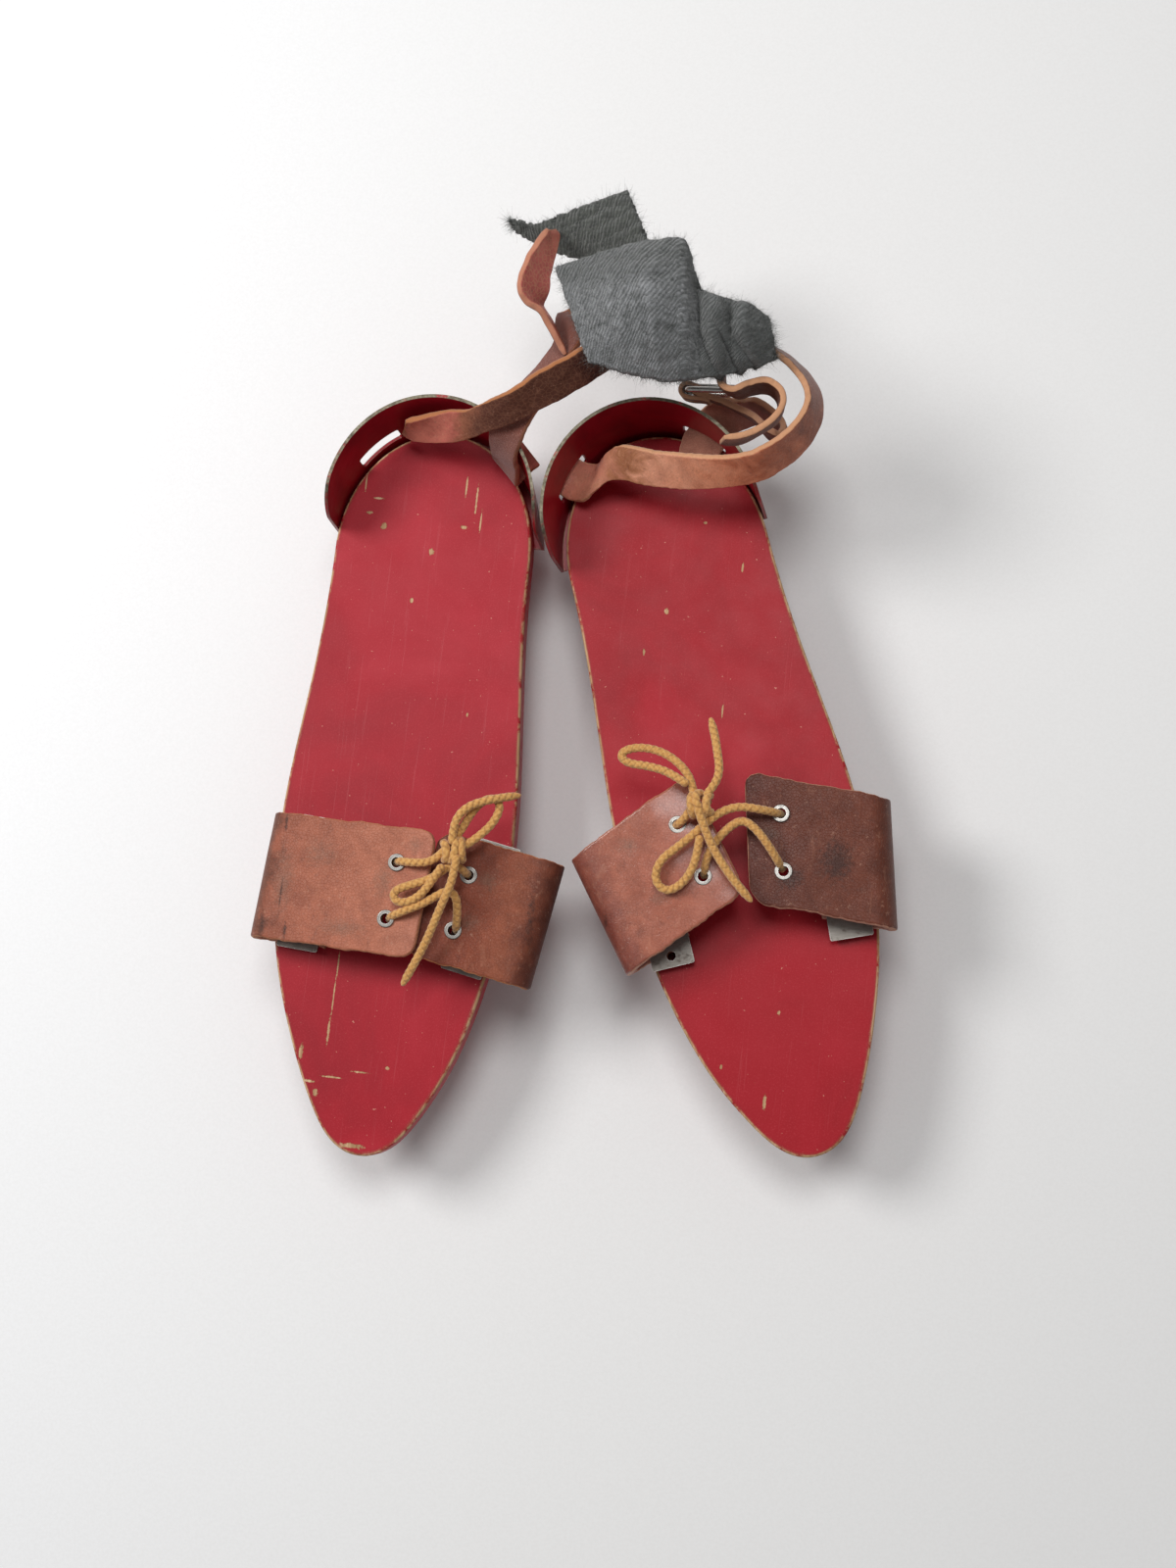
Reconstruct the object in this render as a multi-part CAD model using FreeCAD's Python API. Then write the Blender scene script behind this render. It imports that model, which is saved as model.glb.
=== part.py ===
"""Pair of old strap-on ice skates with red wooden soles.

Each skate has a steel runner carried by riveted angles, a sheet-metal heel cup, two leather toe
flaps laced together, an ankle strap with a buckle, and a felt pad.  All sizes are in millimetres.
The left skate's own frame is the frame of the part: +X to its inner side, +Y to the heel, +Z up,
with the origin on the foot of its runner under the middle of the sole.  The right skate is drawn
in the same kind of frame, then mirrored, turned and set beside the left one.
"""
import FreeCAD, Part
import math
import os

from FreeCAD import Matrix, Placement, Rotation
from FreeCAD import Vector as V

os.makedirs("parts", exist_ok=True)

# Sole: a flat board with a half-oval heel and a pointed toe
SOLE_LENGTH = 279.4
SOLE_THICK = 9.5
SOLE_EDGE_ROUND = 1.2
HEEL_OVAL_DEPTH = 48.0
HEEL_HALF_OUTER = 39.2
HEEL_HALF_INNER = 38.2
WAIST_FROM_HEEL = 98.0
WAIST_HALF_OUTER = 41.6
WAIST_HALF_INNER = 40.6
BALL_FROM_TOE = 117.4
BALL_HALF_OUTER = 46.6
BALL_HALF_INNER = 44.6
# Half widths towards the toe, as (distance from the toe, outer side, inner side)
TOE_STATIONS = [(64.4, 40.0, 38.6), (39.4, 31.3, 31.5), (17.4, 21.0, 21.0)]

# Runner: a steel blade on two posts, with a raised nose
RUNNER_HEIGHT = 30.0
RUNNER_THICK = 4.0
BLADE_DEPTH = 15.0
RUNNER_HEEL_GAP = 19.7
RUNNER_END_ROUND = 8.0
RUNNER_END_ROUND_TOP = 3.2
NOSE_TIP_SHARE = 0.49
NOSE_FROM_TOE = 20.7
NOSE_RADIUS = 32.0
NOSE_RUN = 25.0
NOSE_SLOPE = 55.0
FRONT_POST_FROM_TOE = 64.7
FRONT_POST_LENGTH = 40.0
REAR_POST_FROM_HEEL = 34.7
REAR_POST_LENGTH = 45.0
POST_FOOT_ROUND = 6.0

# Angles that join each post to the sole, with their rivets and wood screws
ANGLE_THICK = 2.0
ANGLE_WIDTH = 16.0
ANGLE_DROP = 14.0
ANGLE_ROUND = 1.5
RIVET_RADIUS = 2.5
RIVET_HEAD_RADIUS = 4.0
RIVET_HEAD_HEIGHT = 1.6
RIVET_SPACING = 24.0
RIVET_DROP = 9.5
SCREW_RADIUS = 1.7
SCREW_HEAD_RADIUS = 3.3
SCREW_HEAD_HEIGHT = 1.7
SCREW_TIP_SHARE = 0.2
SCREW_SLOT = 0.8
SCREW_BITE = 7.0
ANGLE_SCREW_SPACING = 26.0
ANGLE_SCREW_OUT = 11.0
FIT = 0.05

# Heel cup: painted sheet on a flange under the sole
CUP_SHEET = 1.2
CUP_GAP = 3.0
CUP_HEIGHT = 30.0
CUP_LENGTH = 40.7
CUP_FRONT_HEIGHT = 26.5
CUP_FRONT_ROUND = 15.0
CUP_RIM_LEAN = 3.1
CUP_BASE_SHIFT = 0.8
CUP_RIM_SHIFT = 1.7
CUP_RIM_HALF_WIDTH = 40.5
CUP_RIM_DEPTH = 42.0
CUP_FLANGE = 15.0
CUP_SCREW_INSET = 9.0
CUP_SCREW_ANGLES = (45.0, 90.0, 135.0)
SLOT_LENGTH = 19.0
SLOT_HEIGHT = 8.0
SLOT_OVER_SOLE = 4.5
SLOT_CORNER = 1.0
SLOT_ANGLES = {"inner": 47.0, "outer": 131.0}

# Toe flaps: a leather band folded back over the sole's edge, clamped under a steel plate
FLAP_WIDTH = 47.6
FLAP_THICK = 3.0
FLAP_FOLD_RADIUS = 7.25
FLAP_LEG = 27.0
FLAP_EASE_RADIUS = 40.0
FLAP_CORNER = 6.0
PLATE_WIDTH = 15.9
PLATE_LENGTH = 50.8
PLATE_THICK = 1.6
PLATE_END_HOLE = 4.2
PLATE_INSET_HOLE = 12.7
PLATE_CORNER = 0.8

# Eyelets
EYELET_SPACING = 21.0
EYELET_BORE = 1.95
EYELET_BARREL = 2.6
EYELET_FLANGE = 3.25
EYELET_FLANGE_THICK = 0.5
EYELET_ROLL = 3.05
EYELET_EDGE_ROUND = 0.3

# Lace, narrow straps and felt
LACE_DIAMETER = 3.0
LACE_ARC_SHARE = 0.45
STRAP_WIDTH = 15.9
STRAP_THICK = 2.4
FELT_THICK = 3.0

# Buckle: a bent wire frame with a prong that turns on the frame's bar
BUCKLE_WIRE = 2.2
BUCKLE_INSIDE = 17.4
BUCKLE_LENGTH = 15.0
BUCKLE_CORNER = 2.2
BUCKLE_EYE_GAP = 0.2
BUCKLE_EYE_SLOT = 4.8
BUCKLE_EYE_SINK = 0.4
PRONG_WIRE = 1.8
PRONG_RING_WIDTH = 3.6
PRONG_RING_WALL = 0.9
PRONG_CLEARANCE = 0.08

# Where the right skate stands beside the left one
RIGHT_X = 121.6
RIGHT_Y = 11.47
RIGHT_TURN = 19.66

# Levels and ends that the other sizes give
SOLE_TOP = RUNNER_HEIGHT + SOLE_THICK
HEEL_Y = SOLE_LENGTH / 2
TOE_Y = -SOLE_LENGTH / 2
PLATE_TOP = SOLE_TOP + FLAP_THICK + PLATE_THICK
CUP_BASE = RUNNER_HEIGHT - CUP_SHEET
CUP_TOP = SOLE_TOP + CUP_HEIGHT
CUP_FRONT_Y = HEEL_Y - CUP_LENGTH
CUP_MIDDLE_X = (HEEL_HALF_INNER - HEEL_HALF_OUTER) / 2 + CUP_BASE_SHIFT
CUP_MIDDLE_Y = HEEL_Y - HEEL_OVAL_DEPTH
CUP_BASE_HALF_WIDTH = (HEEL_HALF_INNER + HEEL_HALF_OUTER) / 2 + CUP_GAP
CUP_BASE_DEPTH = HEEL_OVAL_DEPTH + CUP_GAP
CUP_RIM_X = CUP_MIDDLE_X + CUP_RIM_SHIFT
CUP_RIM_Y = CUP_MIDDLE_Y + CUP_BASE_DEPTH + CUP_RIM_LEAN - CUP_RIM_DEPTH

# How each toe flap lies: fold line's middle, its yaw and skew towards the heel, its rise
# from the fold, the length of the rising run, and the reach from fold to free end
FLAPS = {
    "left": {
        "outer": {"side": -1, "out": 47.6, "from_toe": 100.1, "yaw": -4.2, "skew": 0.04,
                  "rise": 8.0, "run": 36.0, "reach": 65.6, "eyelets": 12.7},
        "inner": {"side": 1, "out": 62.5, "from_toe": 91.5, "yaw": 9.4, "skew": 0.0,
                  "rise": 4.0, "run": 17.0, "reach": 47.0, "eyelets": 15.0},
    },
    "right": {
        "outer": {"side": -1, "out": 53.1, "from_toe": 95.1, "yaw": 11.4, "skew": 0.23,
                  "rise": 6.0, "run": 24.0, "reach": 52.5, "eyelets": 12.6},
        "inner": {"side": 1, "out": 56.3, "from_toe": 102.1, "yaw": 12.3, "skew": 0.148,
                  "rise": 10.0, "run": 22.0, "reach": 53.0, "eyelets": 11.5},
    },
}

# How each plate lies: middle, turn, and whether its end hole faces the toe and stays empty
PLATES = {
    "left": {
        "outer": {"x": -30.8, "from_toe": 99.1, "turn": -4.0, "end_hole_at_toe": False},
        "inner": {"x": 35.9, "from_toe": 96.1, "turn": -11.0, "end_hole_at_toe": False},
    },
    "right": {
        "outer": {"x": -34.0, "from_toe": 98.8, "turn": 4.4, "end_hole_at_toe": False},
        "inner": {"x": 33.9, "from_toe": 103.9, "turn": 0.0, "end_hole_at_toe": True},
    },
}

# Lace routes, chosen by hand in each skate's own frame
LACES = {
    "left": {
        "lace_bow_upper": [
            (4.9, -30.5, 56), (5.7, -30.2, 62), (12.8, -30.7, 66), (19.8, -29.9, 66.5), (25.2, -24.4, 67.5),
            (29.4, -18.4, 68.5), (32.7, -10.4, 68), (36.8, -5.2, 67.5), (41.1, -4.3, 67.5),
            (43.2, -7.1, 67.5), (41.7, -12.7, 67.5), (37, -18.6, 68), (31.4, -23.2, 68)],
        "lace_bow_lower": [
            (31.6, -32.2, 54), (32.4, -32.5, 60), (29.8, -30.2, 65), (26.3, -30.8, 67), (20.7, -36, 67),
            (13.2, -38.9, 67), (7.9, -41.2, 66.8), (7.2, -44.1, 66.6), (10.3, -46, 66.6),
            (15.7, -44, 67), (20.5, -38.6, 68.5), (25, -30.5, 70)],
        "lace_tail_upper": [
            (27.5, -23.1, 70.5), (27.3, -16.9, 71.5), (29.3, -11.4, 72), (33.5, -7.8, 72),
            (39.4, -5.6, 71.5), (44.4, -3.8, 69), (50, -2.1, 66)],
        "lace_tail_lower": [
            (29.9, -26.5, 71.5), (29.6, -35.4, 71), (26.7, -43.4, 70), (23.9, -51.6, 68),
            (20.8, -60.1, 65.5), (16.3, -69.6, 63), (13.1, -75.5, 60)],
        "lace_cross": [
            (4.7, -51.6, 56), (5.3, -51.3, 62), (11.4, -48.7, 66), (18.3, -45.3, 66), (23.8, -41.4, 66.3),
            (27.1, -39.2, 66), (30.3, -41.3, 64.5), (31, -47.2, 63), (30.4, -52.6, 59.5), (29.9, -53.2, 54)],
    },
    "right": {
        "lace_bow_upper": [
            (20.9, -12.6, 55), (20.6, -13, 61), (15.9, -11.6, 66), (11.5, -7.4, 68), (10.2, -0.9, 69),
            (11.8, 6.1, 69), (17.4, 13.4, 68), (24.9, 17.5, 67), (31.1, 18.1, 66.5),
            (33.5, 16.2, 66), (31.3, 13, 66), (24.5, 10.2, 67), (17, 5.6, 69), (11.9, -0.8, 71)],
        "lace_bow_lower": [
            (-18.2, -17.3, 54), (-17.8, -17.6, 60), (-11.5, -15.2, 66), (-4.6, -12.3, 67), (1.9, -12.4, 68),
            (8.2, -15, 69), (13.7, -17.9, 68), (20.8, -21, 66.5), (28.1, -23.9, 65.5),
            (31.8, -29, 64.5), (30.7, -34, 64), (26.7, -35.7, 64), (20.5, -33, 65),
            (15.2, -26.8, 67), (12, -19.1, 69)],
        "lace_tail_upper": [
            (7.1, -6.4, 71), (2.8, -3.3, 70), (-0.4, 1.5, 69), (-1.2, 8.8, 68), (-1.8, 15.9, 67),
            (-1.7, 22, 66)],
        "lace_tail_lower": [
            (10.5, -9.1, 73), (9.7, -19.3, 71.5), (8, -27.5, 70), (5.3, -35.3, 69), (2.5, -41.3, 68),
            (-0.2, -46.8, 67)],
        "lace_cross": [
            (14.4, -32.5, 56), (14.3, -32.1, 61), (11.7, -26.8, 65), (6.8, -21.9, 66), (0.9, -18.3, 66),
            (-4.2, -17, 66), (-8.1, -21.7, 66.5), (-11.3, -29.7, 65), (-13.2, -36, 60.5),
            (-13.5, -36.7, 54)],
    },
}
KNOTS = {"left": (27.8, -24.7, 68.0), "right": (9.1, -8.4, 69.5)}
KNOT_SIZE = (12.0, 10.0, 8.0)
KNOT_TURN_AXIS = (1.0, 0.35, 0.0)

# Narrow straps as pairs of points on their two edges, chosen by hand.  Those that leave a cup's
# slot start with frames worked out from that slot, so their lists begin inside or outside it
STRAPS = {
    "left_ankle": [
        ((-11.6, 136.6, 62), (-16.1, 136.6, 46.8)), ((-5.3, 138.2, 64), (-9.3, 133.3, 49.5)),
        ((4.8, 140, 67), (1.1, 132, 54.2)), ((15.3, 139, 75), (11.6, 131, 61.5)),
        ((24.7, 138.9, 87), (24, 132.4, 73)), ((33.7, 140.9, 94), (34.3, 134.3, 80)),
        ((45.5, 148.4, 97), (46.7, 140.2, 83.5)), ((57.1, 155.8, 98), (59.7, 149.2, 84)),
        ((64.5, 161.4, 98.5), (67.2, 155, 84.5)), ((75.5, 169.1, 99), (78.3, 162.8, 85))],
    "left_slot": [
        ((31.7, 119.5, 46.5), (20.9, 130.9, 44.3)), ((32.6, 121.6, 55), (21.2, 131, 49)),
        ((33.1, 124.5, 65.5), (21.9, 129.5, 55.5)), ((35.3, 130.5, 73.5), (23.7, 131.5, 67.5)),
        ((38.4, 137.3, 77), (26.6, 136.7, 74)), ((43.9, 146.6, 78.5), (32.1, 145.4, 75)),
        ((49.5, 156.6, 82), (38.5, 155.4, 74)), ((55.3, 163.5, 86.5), (44.7, 164.4, 76.5)),
        ((54.8, 170.5, 88), (45, 172.3, 77)), ((50.5, 174.6, 89), (45.1, 177.4, 76.5))],
    "left_slot_tail": [
        ((50.6, 158.7, 85), (48.6, 164.8, 71.5)), ((44.1, 167.9, 90), (42.1, 174.1, 75.5)),
        ((40.9, 171.8, 93), (38.7, 178.1, 78.5)), ((35.5, 174.1, 95.5), (39, 179, 81)),
        ((32.9, 178.6, 98), (41.4, 182.4, 85.2)), ((33.8, 184.5, 99), (41.5, 189, 85.8)),
        ((36.3, 192.6, 98), (42.1, 197.7, 84.5)), ((39.2, 199.2, 96), (42, 204.6, 82.5)),
        ((40.6, 202, 95), (40.4, 207.6, 81.5))],
    "right_ankle": [
        ((15.6, 130.8, 48.8), (26.2, 119.2, 46.4)), ((11.0, 131.3, 57.8), (19.8, 120.7, 49.8)),
        ((5.2, 130, 66), (12.2, 121.9, 54.2)), ((-4.3, 123.8, 71), (0.4, 115.5, 58.2)),
        ((-16.4, 116.5, 77), (-13.8, 108.4, 63.5)), ((-30.5, 110.2, 83), (-29.6, 103.6, 68.5)),
        ((-41.1, 108.3, 87), (-43.4, 102, 72.5)), ((-51.2, 110.8, 89), (-55.6, 106.5, 74.2)),
        ((-59.3, 116.1, 90), (-64.7, 114, 75.2)), ((-63.1, 121.4, 91), (-68.3, 122.6, 76)),
        ((-63, 127.9, 91), (-67.4, 130.6, 76)), ((-59.4, 136.4, 90), (-63.2, 139.8, 75)),
        ((-53.3, 142.8, 90), (-56.3, 147.6, 75.2)), ((-44.7, 143.9, 90.8), (-46.7, 150.4, 76.3)),
        ((-37.2, 140, 90.8), (-38.5, 146.3, 76.3)), ((-34.6, 134.9, 90.8), (-36, 138.6, 76)),
        ((-38.3, 131.2, 90.8), (-39.8, 133.4, 76)), ((-44.3, 132.1, 91), (-44.9, 133.2, 75.2)),
        ((-50.5, 131.3, 91), (-50.7, 132, 75.2)), ((-54.2, 127.6, 91), (-53.7, 128, 75.2)),
        ((-54.8, 122.9, 91), (-53.6, 123.9, 75.2)), ((-52, 118.6, 91), (-50.1, 120, 75.2)),
        ((-46, 115.3, 91), (-43.5, 117.8, 75.5)), ((-38.7, 113.8, 91), (-36.4, 116.4, 75.5)),
        ((-31.1, 114.6, 91), (-29.3, 118.2, 75.5))],
    "right_buckle": [
        ((-33.5, 142, 47.5), (-37, 134, 40)), ((-39.5, 139.5, 51), (-42, 134, 40.5)),
        ((-46.5, 135.5, 60), (-48, 131, 46)), ((-52, 128, 62), (-53, 125.5, 47)),
        ((-53.8, 121.8, 65), (-54.3, 120.6, 49.5)), ((-51.2, 118.4, 68), (-52, 117.8, 52.5)),
        ((-47.6, 120.8, 69.5), (-48.8, 122.2, 54)), ((-43.6, 126.4, 71), (-45, 129.2, 55.5)),
        ((-37.5, 131.8, 71.5), (-38.8, 135.4, 56.2)), ((-31.2, 136.9, 71.5), (-32.2, 140.6, 56.2)),
        ((-24.6, 141.2, 71.5), (-25.4, 145, 56.2))],
}
# How far each buckle's frame is folded about its bar, and the side that its prong lies on
BUCKLE_FOLDS = {"left": 0.0, "right": 165.0}
PRONG_SIDES = {"left": 1, "right": -1}
RIGHT_STUB = [((-11, 120.6, 41.8), (-26, 115.4, 41.4)), ((-13.5, 127, 42.6), (-28, 121.5, 42.4))]

# Felt pads as rows across the pad: far end, near end, and the middle's rise above their chord
FELTS = {
    "left": [
        ((22, 213, 77.5), (24, 209.4, 77), 0.3), ((32, 210.5, 79.5), (45, 201, 77), 0.5),
        ((49, 218, 81), (63, 197, 78), 0.6), ((66, 225.5, 81), (84, 192, 79), 1.0)],
    "right": [
        ((12.6, 187.9, 105), (9.4, 150.7, 103), 2.5), ((-6, 186, 111), (-4, 143, 101), 9.0),
        ((-20, 184.5, 114), (-15, 138, 99), 12.0), ((-34, 182, 115), (-22, 136.5, 98), 8.0),
        ((-34.5, 165, 109), (-28, 136.5, 97), 2.0), ((-40, 158.6, 112), (-34, 135.5, 97), 6.5),
        ((-44.5, 157, 109), (-39, 135.5, 96.5), 3.0), ((-49, 154, 111), (-44.5, 135.5, 97), 6.0),
        ((-56, 147.5, 106), (-56, 135.5, 98.5), 2.0)],
}


def unit(vector):
    """The vector at length one."""
    return V(vector) / vector.Length


def tangent_path(points, radii, closed=False):
    """Edges of straight runs through the points, with a tangent arc of the given radius at each."""
    count = len(points)
    starts, ends, middles = {}, {}, {}
    for i in range(count):
        if radii[i] <= 0 or (not closed and i in (0, count - 1)):
            starts[i] = ends[i] = points[i]
            continue
        before = unit(points[i] - points[i - 1])
        after = unit(points[(i + 1) % count] - points[i])
        half_turn = before.getAngle(after) / 2
        reach = radii[i] * math.tan(half_turn)
        inward = unit(after - before)
        centre = points[i] + inward * (radii[i] / math.cos(half_turn))
        starts[i] = points[i] - before * reach
        ends[i] = points[i] + after * reach
        middles[i] = centre - inward * radii[i]
    edges = []
    for i in range(count):
        if i in middles:
            edges.append(Part.Arc(starts[i], middles[i], ends[i]).toShape())
        last = not closed and i == count - 1
        following = (i + 1) % count
        if not last and (starts[following] - ends[i]).Length > 1e-6:
            edges.append(Part.LineSegment(ends[i], starts[following]).toShape())
    return edges


def outline_face(corners, plane):
    """Face inside a closed outline given as (u, v, corner radius), lifted by the plane function."""
    points = [plane(u, v) for u, v, _ in corners]
    radii = [radius for _, _, radius in corners]
    return Part.Face(Part.Wire(tangent_path(points, radii, closed=True)))


def cylinder(radius, height, base, axis=V(0, 0, 1)):
    """Round bar from a base point along an axis."""
    return Part.makeCylinder(radius, height, base, axis)


def fuse_all(shapes):
    """One solid from overlapping shapes."""
    return shapes[0].multiFuse(shapes[1:]).removeSplitter()


def quarter_oval(middle, half_width, depth):
    """Quarter of an ellipse from the oval's back round to its side; half_width may be negative."""
    back = middle + V(0, depth, 0)
    side = middle + V(half_width, 0, 0)
    if depth >= abs(half_width):
        return Part.ArcOfEllipse(Part.Ellipse(back, side, middle), 0, math.pi / 2).toShape()
    return Part.ArcOfEllipse(Part.Ellipse(side, back, middle), 0, math.pi / 2).toShape()


def oval_wire(x, y, z, half_width, depth):
    """Full ellipse lying level."""
    if depth >= half_width:
        ellipse = Part.Ellipse(V(x, y + depth, z), V(x + half_width, y, z), V(x, y, z))
    else:
        ellipse = Part.Ellipse(V(x + half_width, y, z), V(x, y + depth, z), V(x, y, z))
    return Part.Wire([ellipse.toShape()])


def domed_head(radius, height, base, axis):
    """Round head of a screw or rivet, standing on its base point along an axis."""
    sphere_radius = (radius ** 2 + height ** 2) / (2 * height)
    ball = Part.makeSphere(sphere_radius, base + axis * (height - sphere_radius))
    return ball.common(cylinder(2 * sphere_radius, 2 * sphere_radius, base, axis))


def wood_screw(under_head, length, direction):
    """Round-headed screw with a slotted head, a shank and a point, driven along +Z or -Z."""
    head = domed_head(SCREW_HEAD_RADIUS, SCREW_HEAD_HEIGHT, V(0, 0, 0), V(0, 0, -1))
    straight = length - 2 * SCREW_RADIUS
    shank = cylinder(SCREW_RADIUS, straight, V(0, 0, 0))
    point = Part.makeCone(SCREW_RADIUS, SCREW_RADIUS * SCREW_TIP_SHARE, 2 * SCREW_RADIUS, V(0, 0, straight))
    slot_depth = SCREW_HEAD_HEIGHT / 2
    slot = Part.makeBox(3 * SCREW_HEAD_RADIUS, SCREW_SLOT, slot_depth,
                        V(-1.5 * SCREW_HEAD_RADIUS, -SCREW_SLOT / 2, -SCREW_HEAD_HEIGHT))
    screw = fuse_all([head, shank, point]).cut(slot)
    if direction < 0:
        screw.rotate(V(0, 0, 0), V(1, 0, 0), 180)
    screw.translate(under_head)
    return screw


def screw_hole(under_head, length, direction):
    """Hole that a wood screw's shank sits in, from just behind its head."""
    start = under_head if direction > 0 else under_head - V(0, 0, length + FIT)
    return cylinder(SCREW_RADIUS + FIT, length + FIT, start)


def sole_side(side, half_heel, half_waist, half_ball, toe_column):
    """Curve from the end of the heel's oval along one side to the toe."""
    widths = [(HEEL_Y - HEEL_OVAL_DEPTH, half_heel), (HEEL_Y - WAIST_FROM_HEEL, half_waist),
              (TOE_Y + BALL_FROM_TOE, half_ball)]
    widths += [(TOE_Y + station[0], station[toe_column]) for station in TOE_STATIONS]
    points = [V(side * width, y, 0) for y, width in widths] + [V(0, TOE_Y, 0)]
    curve = Part.BSplineCurve()
    curve.interpolate(Points=points, InitialTangent=V(0, -1, 0), FinalTangent=V(-side, 0, 0))
    return curve.toShape()


def sole(holes):
    """The wooden board, with rounded edges and the holes of every screw."""
    middle = V(0, HEEL_Y - HEEL_OVAL_DEPTH, 0)
    edges = [
        quarter_oval(middle, HEEL_HALF_INNER, HEEL_OVAL_DEPTH),
        sole_side(1, HEEL_HALF_INNER, WAIST_HALF_INNER, BALL_HALF_INNER, 2),
        sole_side(-1, HEEL_HALF_OUTER, WAIST_HALF_OUTER, BALL_HALF_OUTER, 1),
        quarter_oval(middle, -HEEL_HALF_OUTER, HEEL_OVAL_DEPTH),
    ]
    outline = Part.Wire(Part.__sortEdges__(edges))
    outline.translate(V(0, 0, RUNNER_HEIGHT))
    board = Part.Face(outline).extrude(V(0, 0, SOLE_THICK))
    level = [edge for edge in board.Edges if edge.BoundBox.ZLength < 0.01]
    board = board.makeFillet(SOLE_EDGE_ROUND, level)
    return board.cut(Part.makeCompound(holes))


def post_spans():
    """The two posts' ends along Y, front post first."""
    front = TOE_Y + FRONT_POST_FROM_TOE
    rear = HEEL_Y - REAR_POST_FROM_HEEL
    return (front, front + FRONT_POST_LENGTH), (rear - REAR_POST_LENGTH, rear)


def runner():
    """Blade, raised nose and two posts, cut from one flat bar."""
    slope = math.radians(NOSE_SLOPE)
    tip_round = BLADE_DEPTH * NOSE_TIP_SHARE
    nose_y = TOE_Y + NOSE_FROM_TOE
    tip_low = (nose_y - NOSE_RUN * math.cos(slope), NOSE_RUN * math.sin(slope))
    tip_high = (tip_low[0] + BLADE_DEPTH * math.sin(slope), tip_low[1] + BLADE_DEPTH * math.cos(slope))
    inner_y = tip_high[0] + (tip_high[1] - BLADE_DEPTH) / math.tan(slope)
    corners = [(HEEL_Y - RUNNER_HEEL_GAP, 0, RUNNER_END_ROUND), (nose_y, 0, NOSE_RADIUS),
               (*tip_low, tip_round), (*tip_high, tip_round),
               (inner_y, BLADE_DEPTH, NOSE_RADIUS - BLADE_DEPTH)]
    for start, end in post_spans():
        corners += [(start, BLADE_DEPTH, POST_FOOT_ROUND), (start, RUNNER_HEIGHT, 0),
                    (end, RUNNER_HEIGHT, 0), (end, BLADE_DEPTH, POST_FOOT_ROUND)]
    corners.append((HEEL_Y - RUNNER_HEEL_GAP, BLADE_DEPTH, RUNNER_END_ROUND_TOP))
    face = outline_face(corners, lambda y, z: V(-RUNNER_THICK / 2, y, z))
    bar = face.extrude(V(RUNNER_THICK, 0, 0))
    holes = [cylinder(RIVET_RADIUS + FIT, 2 * RUNNER_THICK, V(-RUNNER_THICK, y, z), V(1, 0, 0))
             for y, z in rivet_places()]
    return bar.cut(Part.makeCompound(holes))


def rivet_places():
    """Middle of each rivet as (y, z)."""
    places = []
    for start, end in post_spans():
        for offset in (-RIVET_SPACING / 2, RIVET_SPACING / 2):
            places.append(((start + end) / 2 + offset, RUNNER_HEIGHT - RIVET_DROP))
    return places


def angle_screw_places(span):
    """Middles of the four screws of one post's two angles, level with the angles' underside."""
    middle = (span[0] + span[1]) / 2
    return [V(side * ANGLE_SCREW_OUT, middle + offset, RUNNER_HEIGHT - ANGLE_THICK)
            for side in (-1, 1) for offset in (-ANGLE_SCREW_SPACING / 2, ANGLE_SCREW_SPACING / 2)]


def post_angles(span):
    """The two steel angles of one post, one on each side of the runner."""
    near = RUNNER_THICK / 2
    top = RUNNER_HEIGHT
    corners = [(near, top - ANGLE_THICK - ANGLE_DROP, 0),
               (near + ANGLE_THICK, top - ANGLE_THICK - ANGLE_DROP, 0),
               (near + ANGLE_THICK, top - ANGLE_THICK, ANGLE_ROUND),
               (near + ANGLE_WIDTH, top - ANGLE_THICK, 0),
               (near + ANGLE_WIDTH, top, 0), (near, top, ANGLE_ROUND)]
    face = outline_face(corners, lambda x, z: V(x, span[0], z))
    angle = face.extrude(V(0, span[1] - span[0], 0))
    holes = [cylinder(RIVET_RADIUS + FIT, 4 * ANGLE_WIDTH, V(-2 * ANGLE_WIDTH, y, z), V(1, 0, 0))
             for y, z in rivet_places()]
    holes += [screw_hole(place, SCREW_BITE + ANGLE_THICK, 1) for place in angle_screw_places(span)]
    pair = [angle, angle.mirror(V(0, 0, 0), V(1, 0, 0))]
    return Part.makeCompound([one.cut(Part.makeCompound(holes)) for one in pair])


def runner_rivets():
    """Round-headed rivets through the angles and the runner."""
    half = RUNNER_THICK / 2 + ANGLE_THICK
    rivets = []
    for y, z in rivet_places():
        shank = cylinder(RIVET_RADIUS, 2 * half, V(-half, y, z), V(1, 0, 0))
        heads = [domed_head(RIVET_HEAD_RADIUS, RIVET_HEAD_HEIGHT, V(side * half, y, z), V(side, 0, 0))
                 for side in (-1, 1)]
        rivets.append(fuse_all([shank] + heads))
    return Part.makeCompound(rivets)


def cup_section(height_share):
    """Cup's oval at a share of its height, as middle x, middle y, half width and depth."""
    low = (CUP_MIDDLE_X, CUP_MIDDLE_Y, CUP_BASE_HALF_WIDTH, CUP_BASE_DEPTH)
    high = (CUP_RIM_X, CUP_RIM_Y, CUP_RIM_HALF_WIDTH, CUP_RIM_DEPTH)
    return [a + (b - a) * height_share for a, b in zip(low, high)]


def cup_solid(inset):
    """Solid inside the cup's wall, drawn in by the inset, open to both ends' levels."""
    wires = []
    for share, level in ((0.0, CUP_BASE), (1.0, CUP_TOP)):
        x, y, half_width, depth = cup_section(share)
        wires.append(oval_wire(x, y, level, half_width - inset, depth - inset))
    return Part.makeLoft(wires, True, True)


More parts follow.
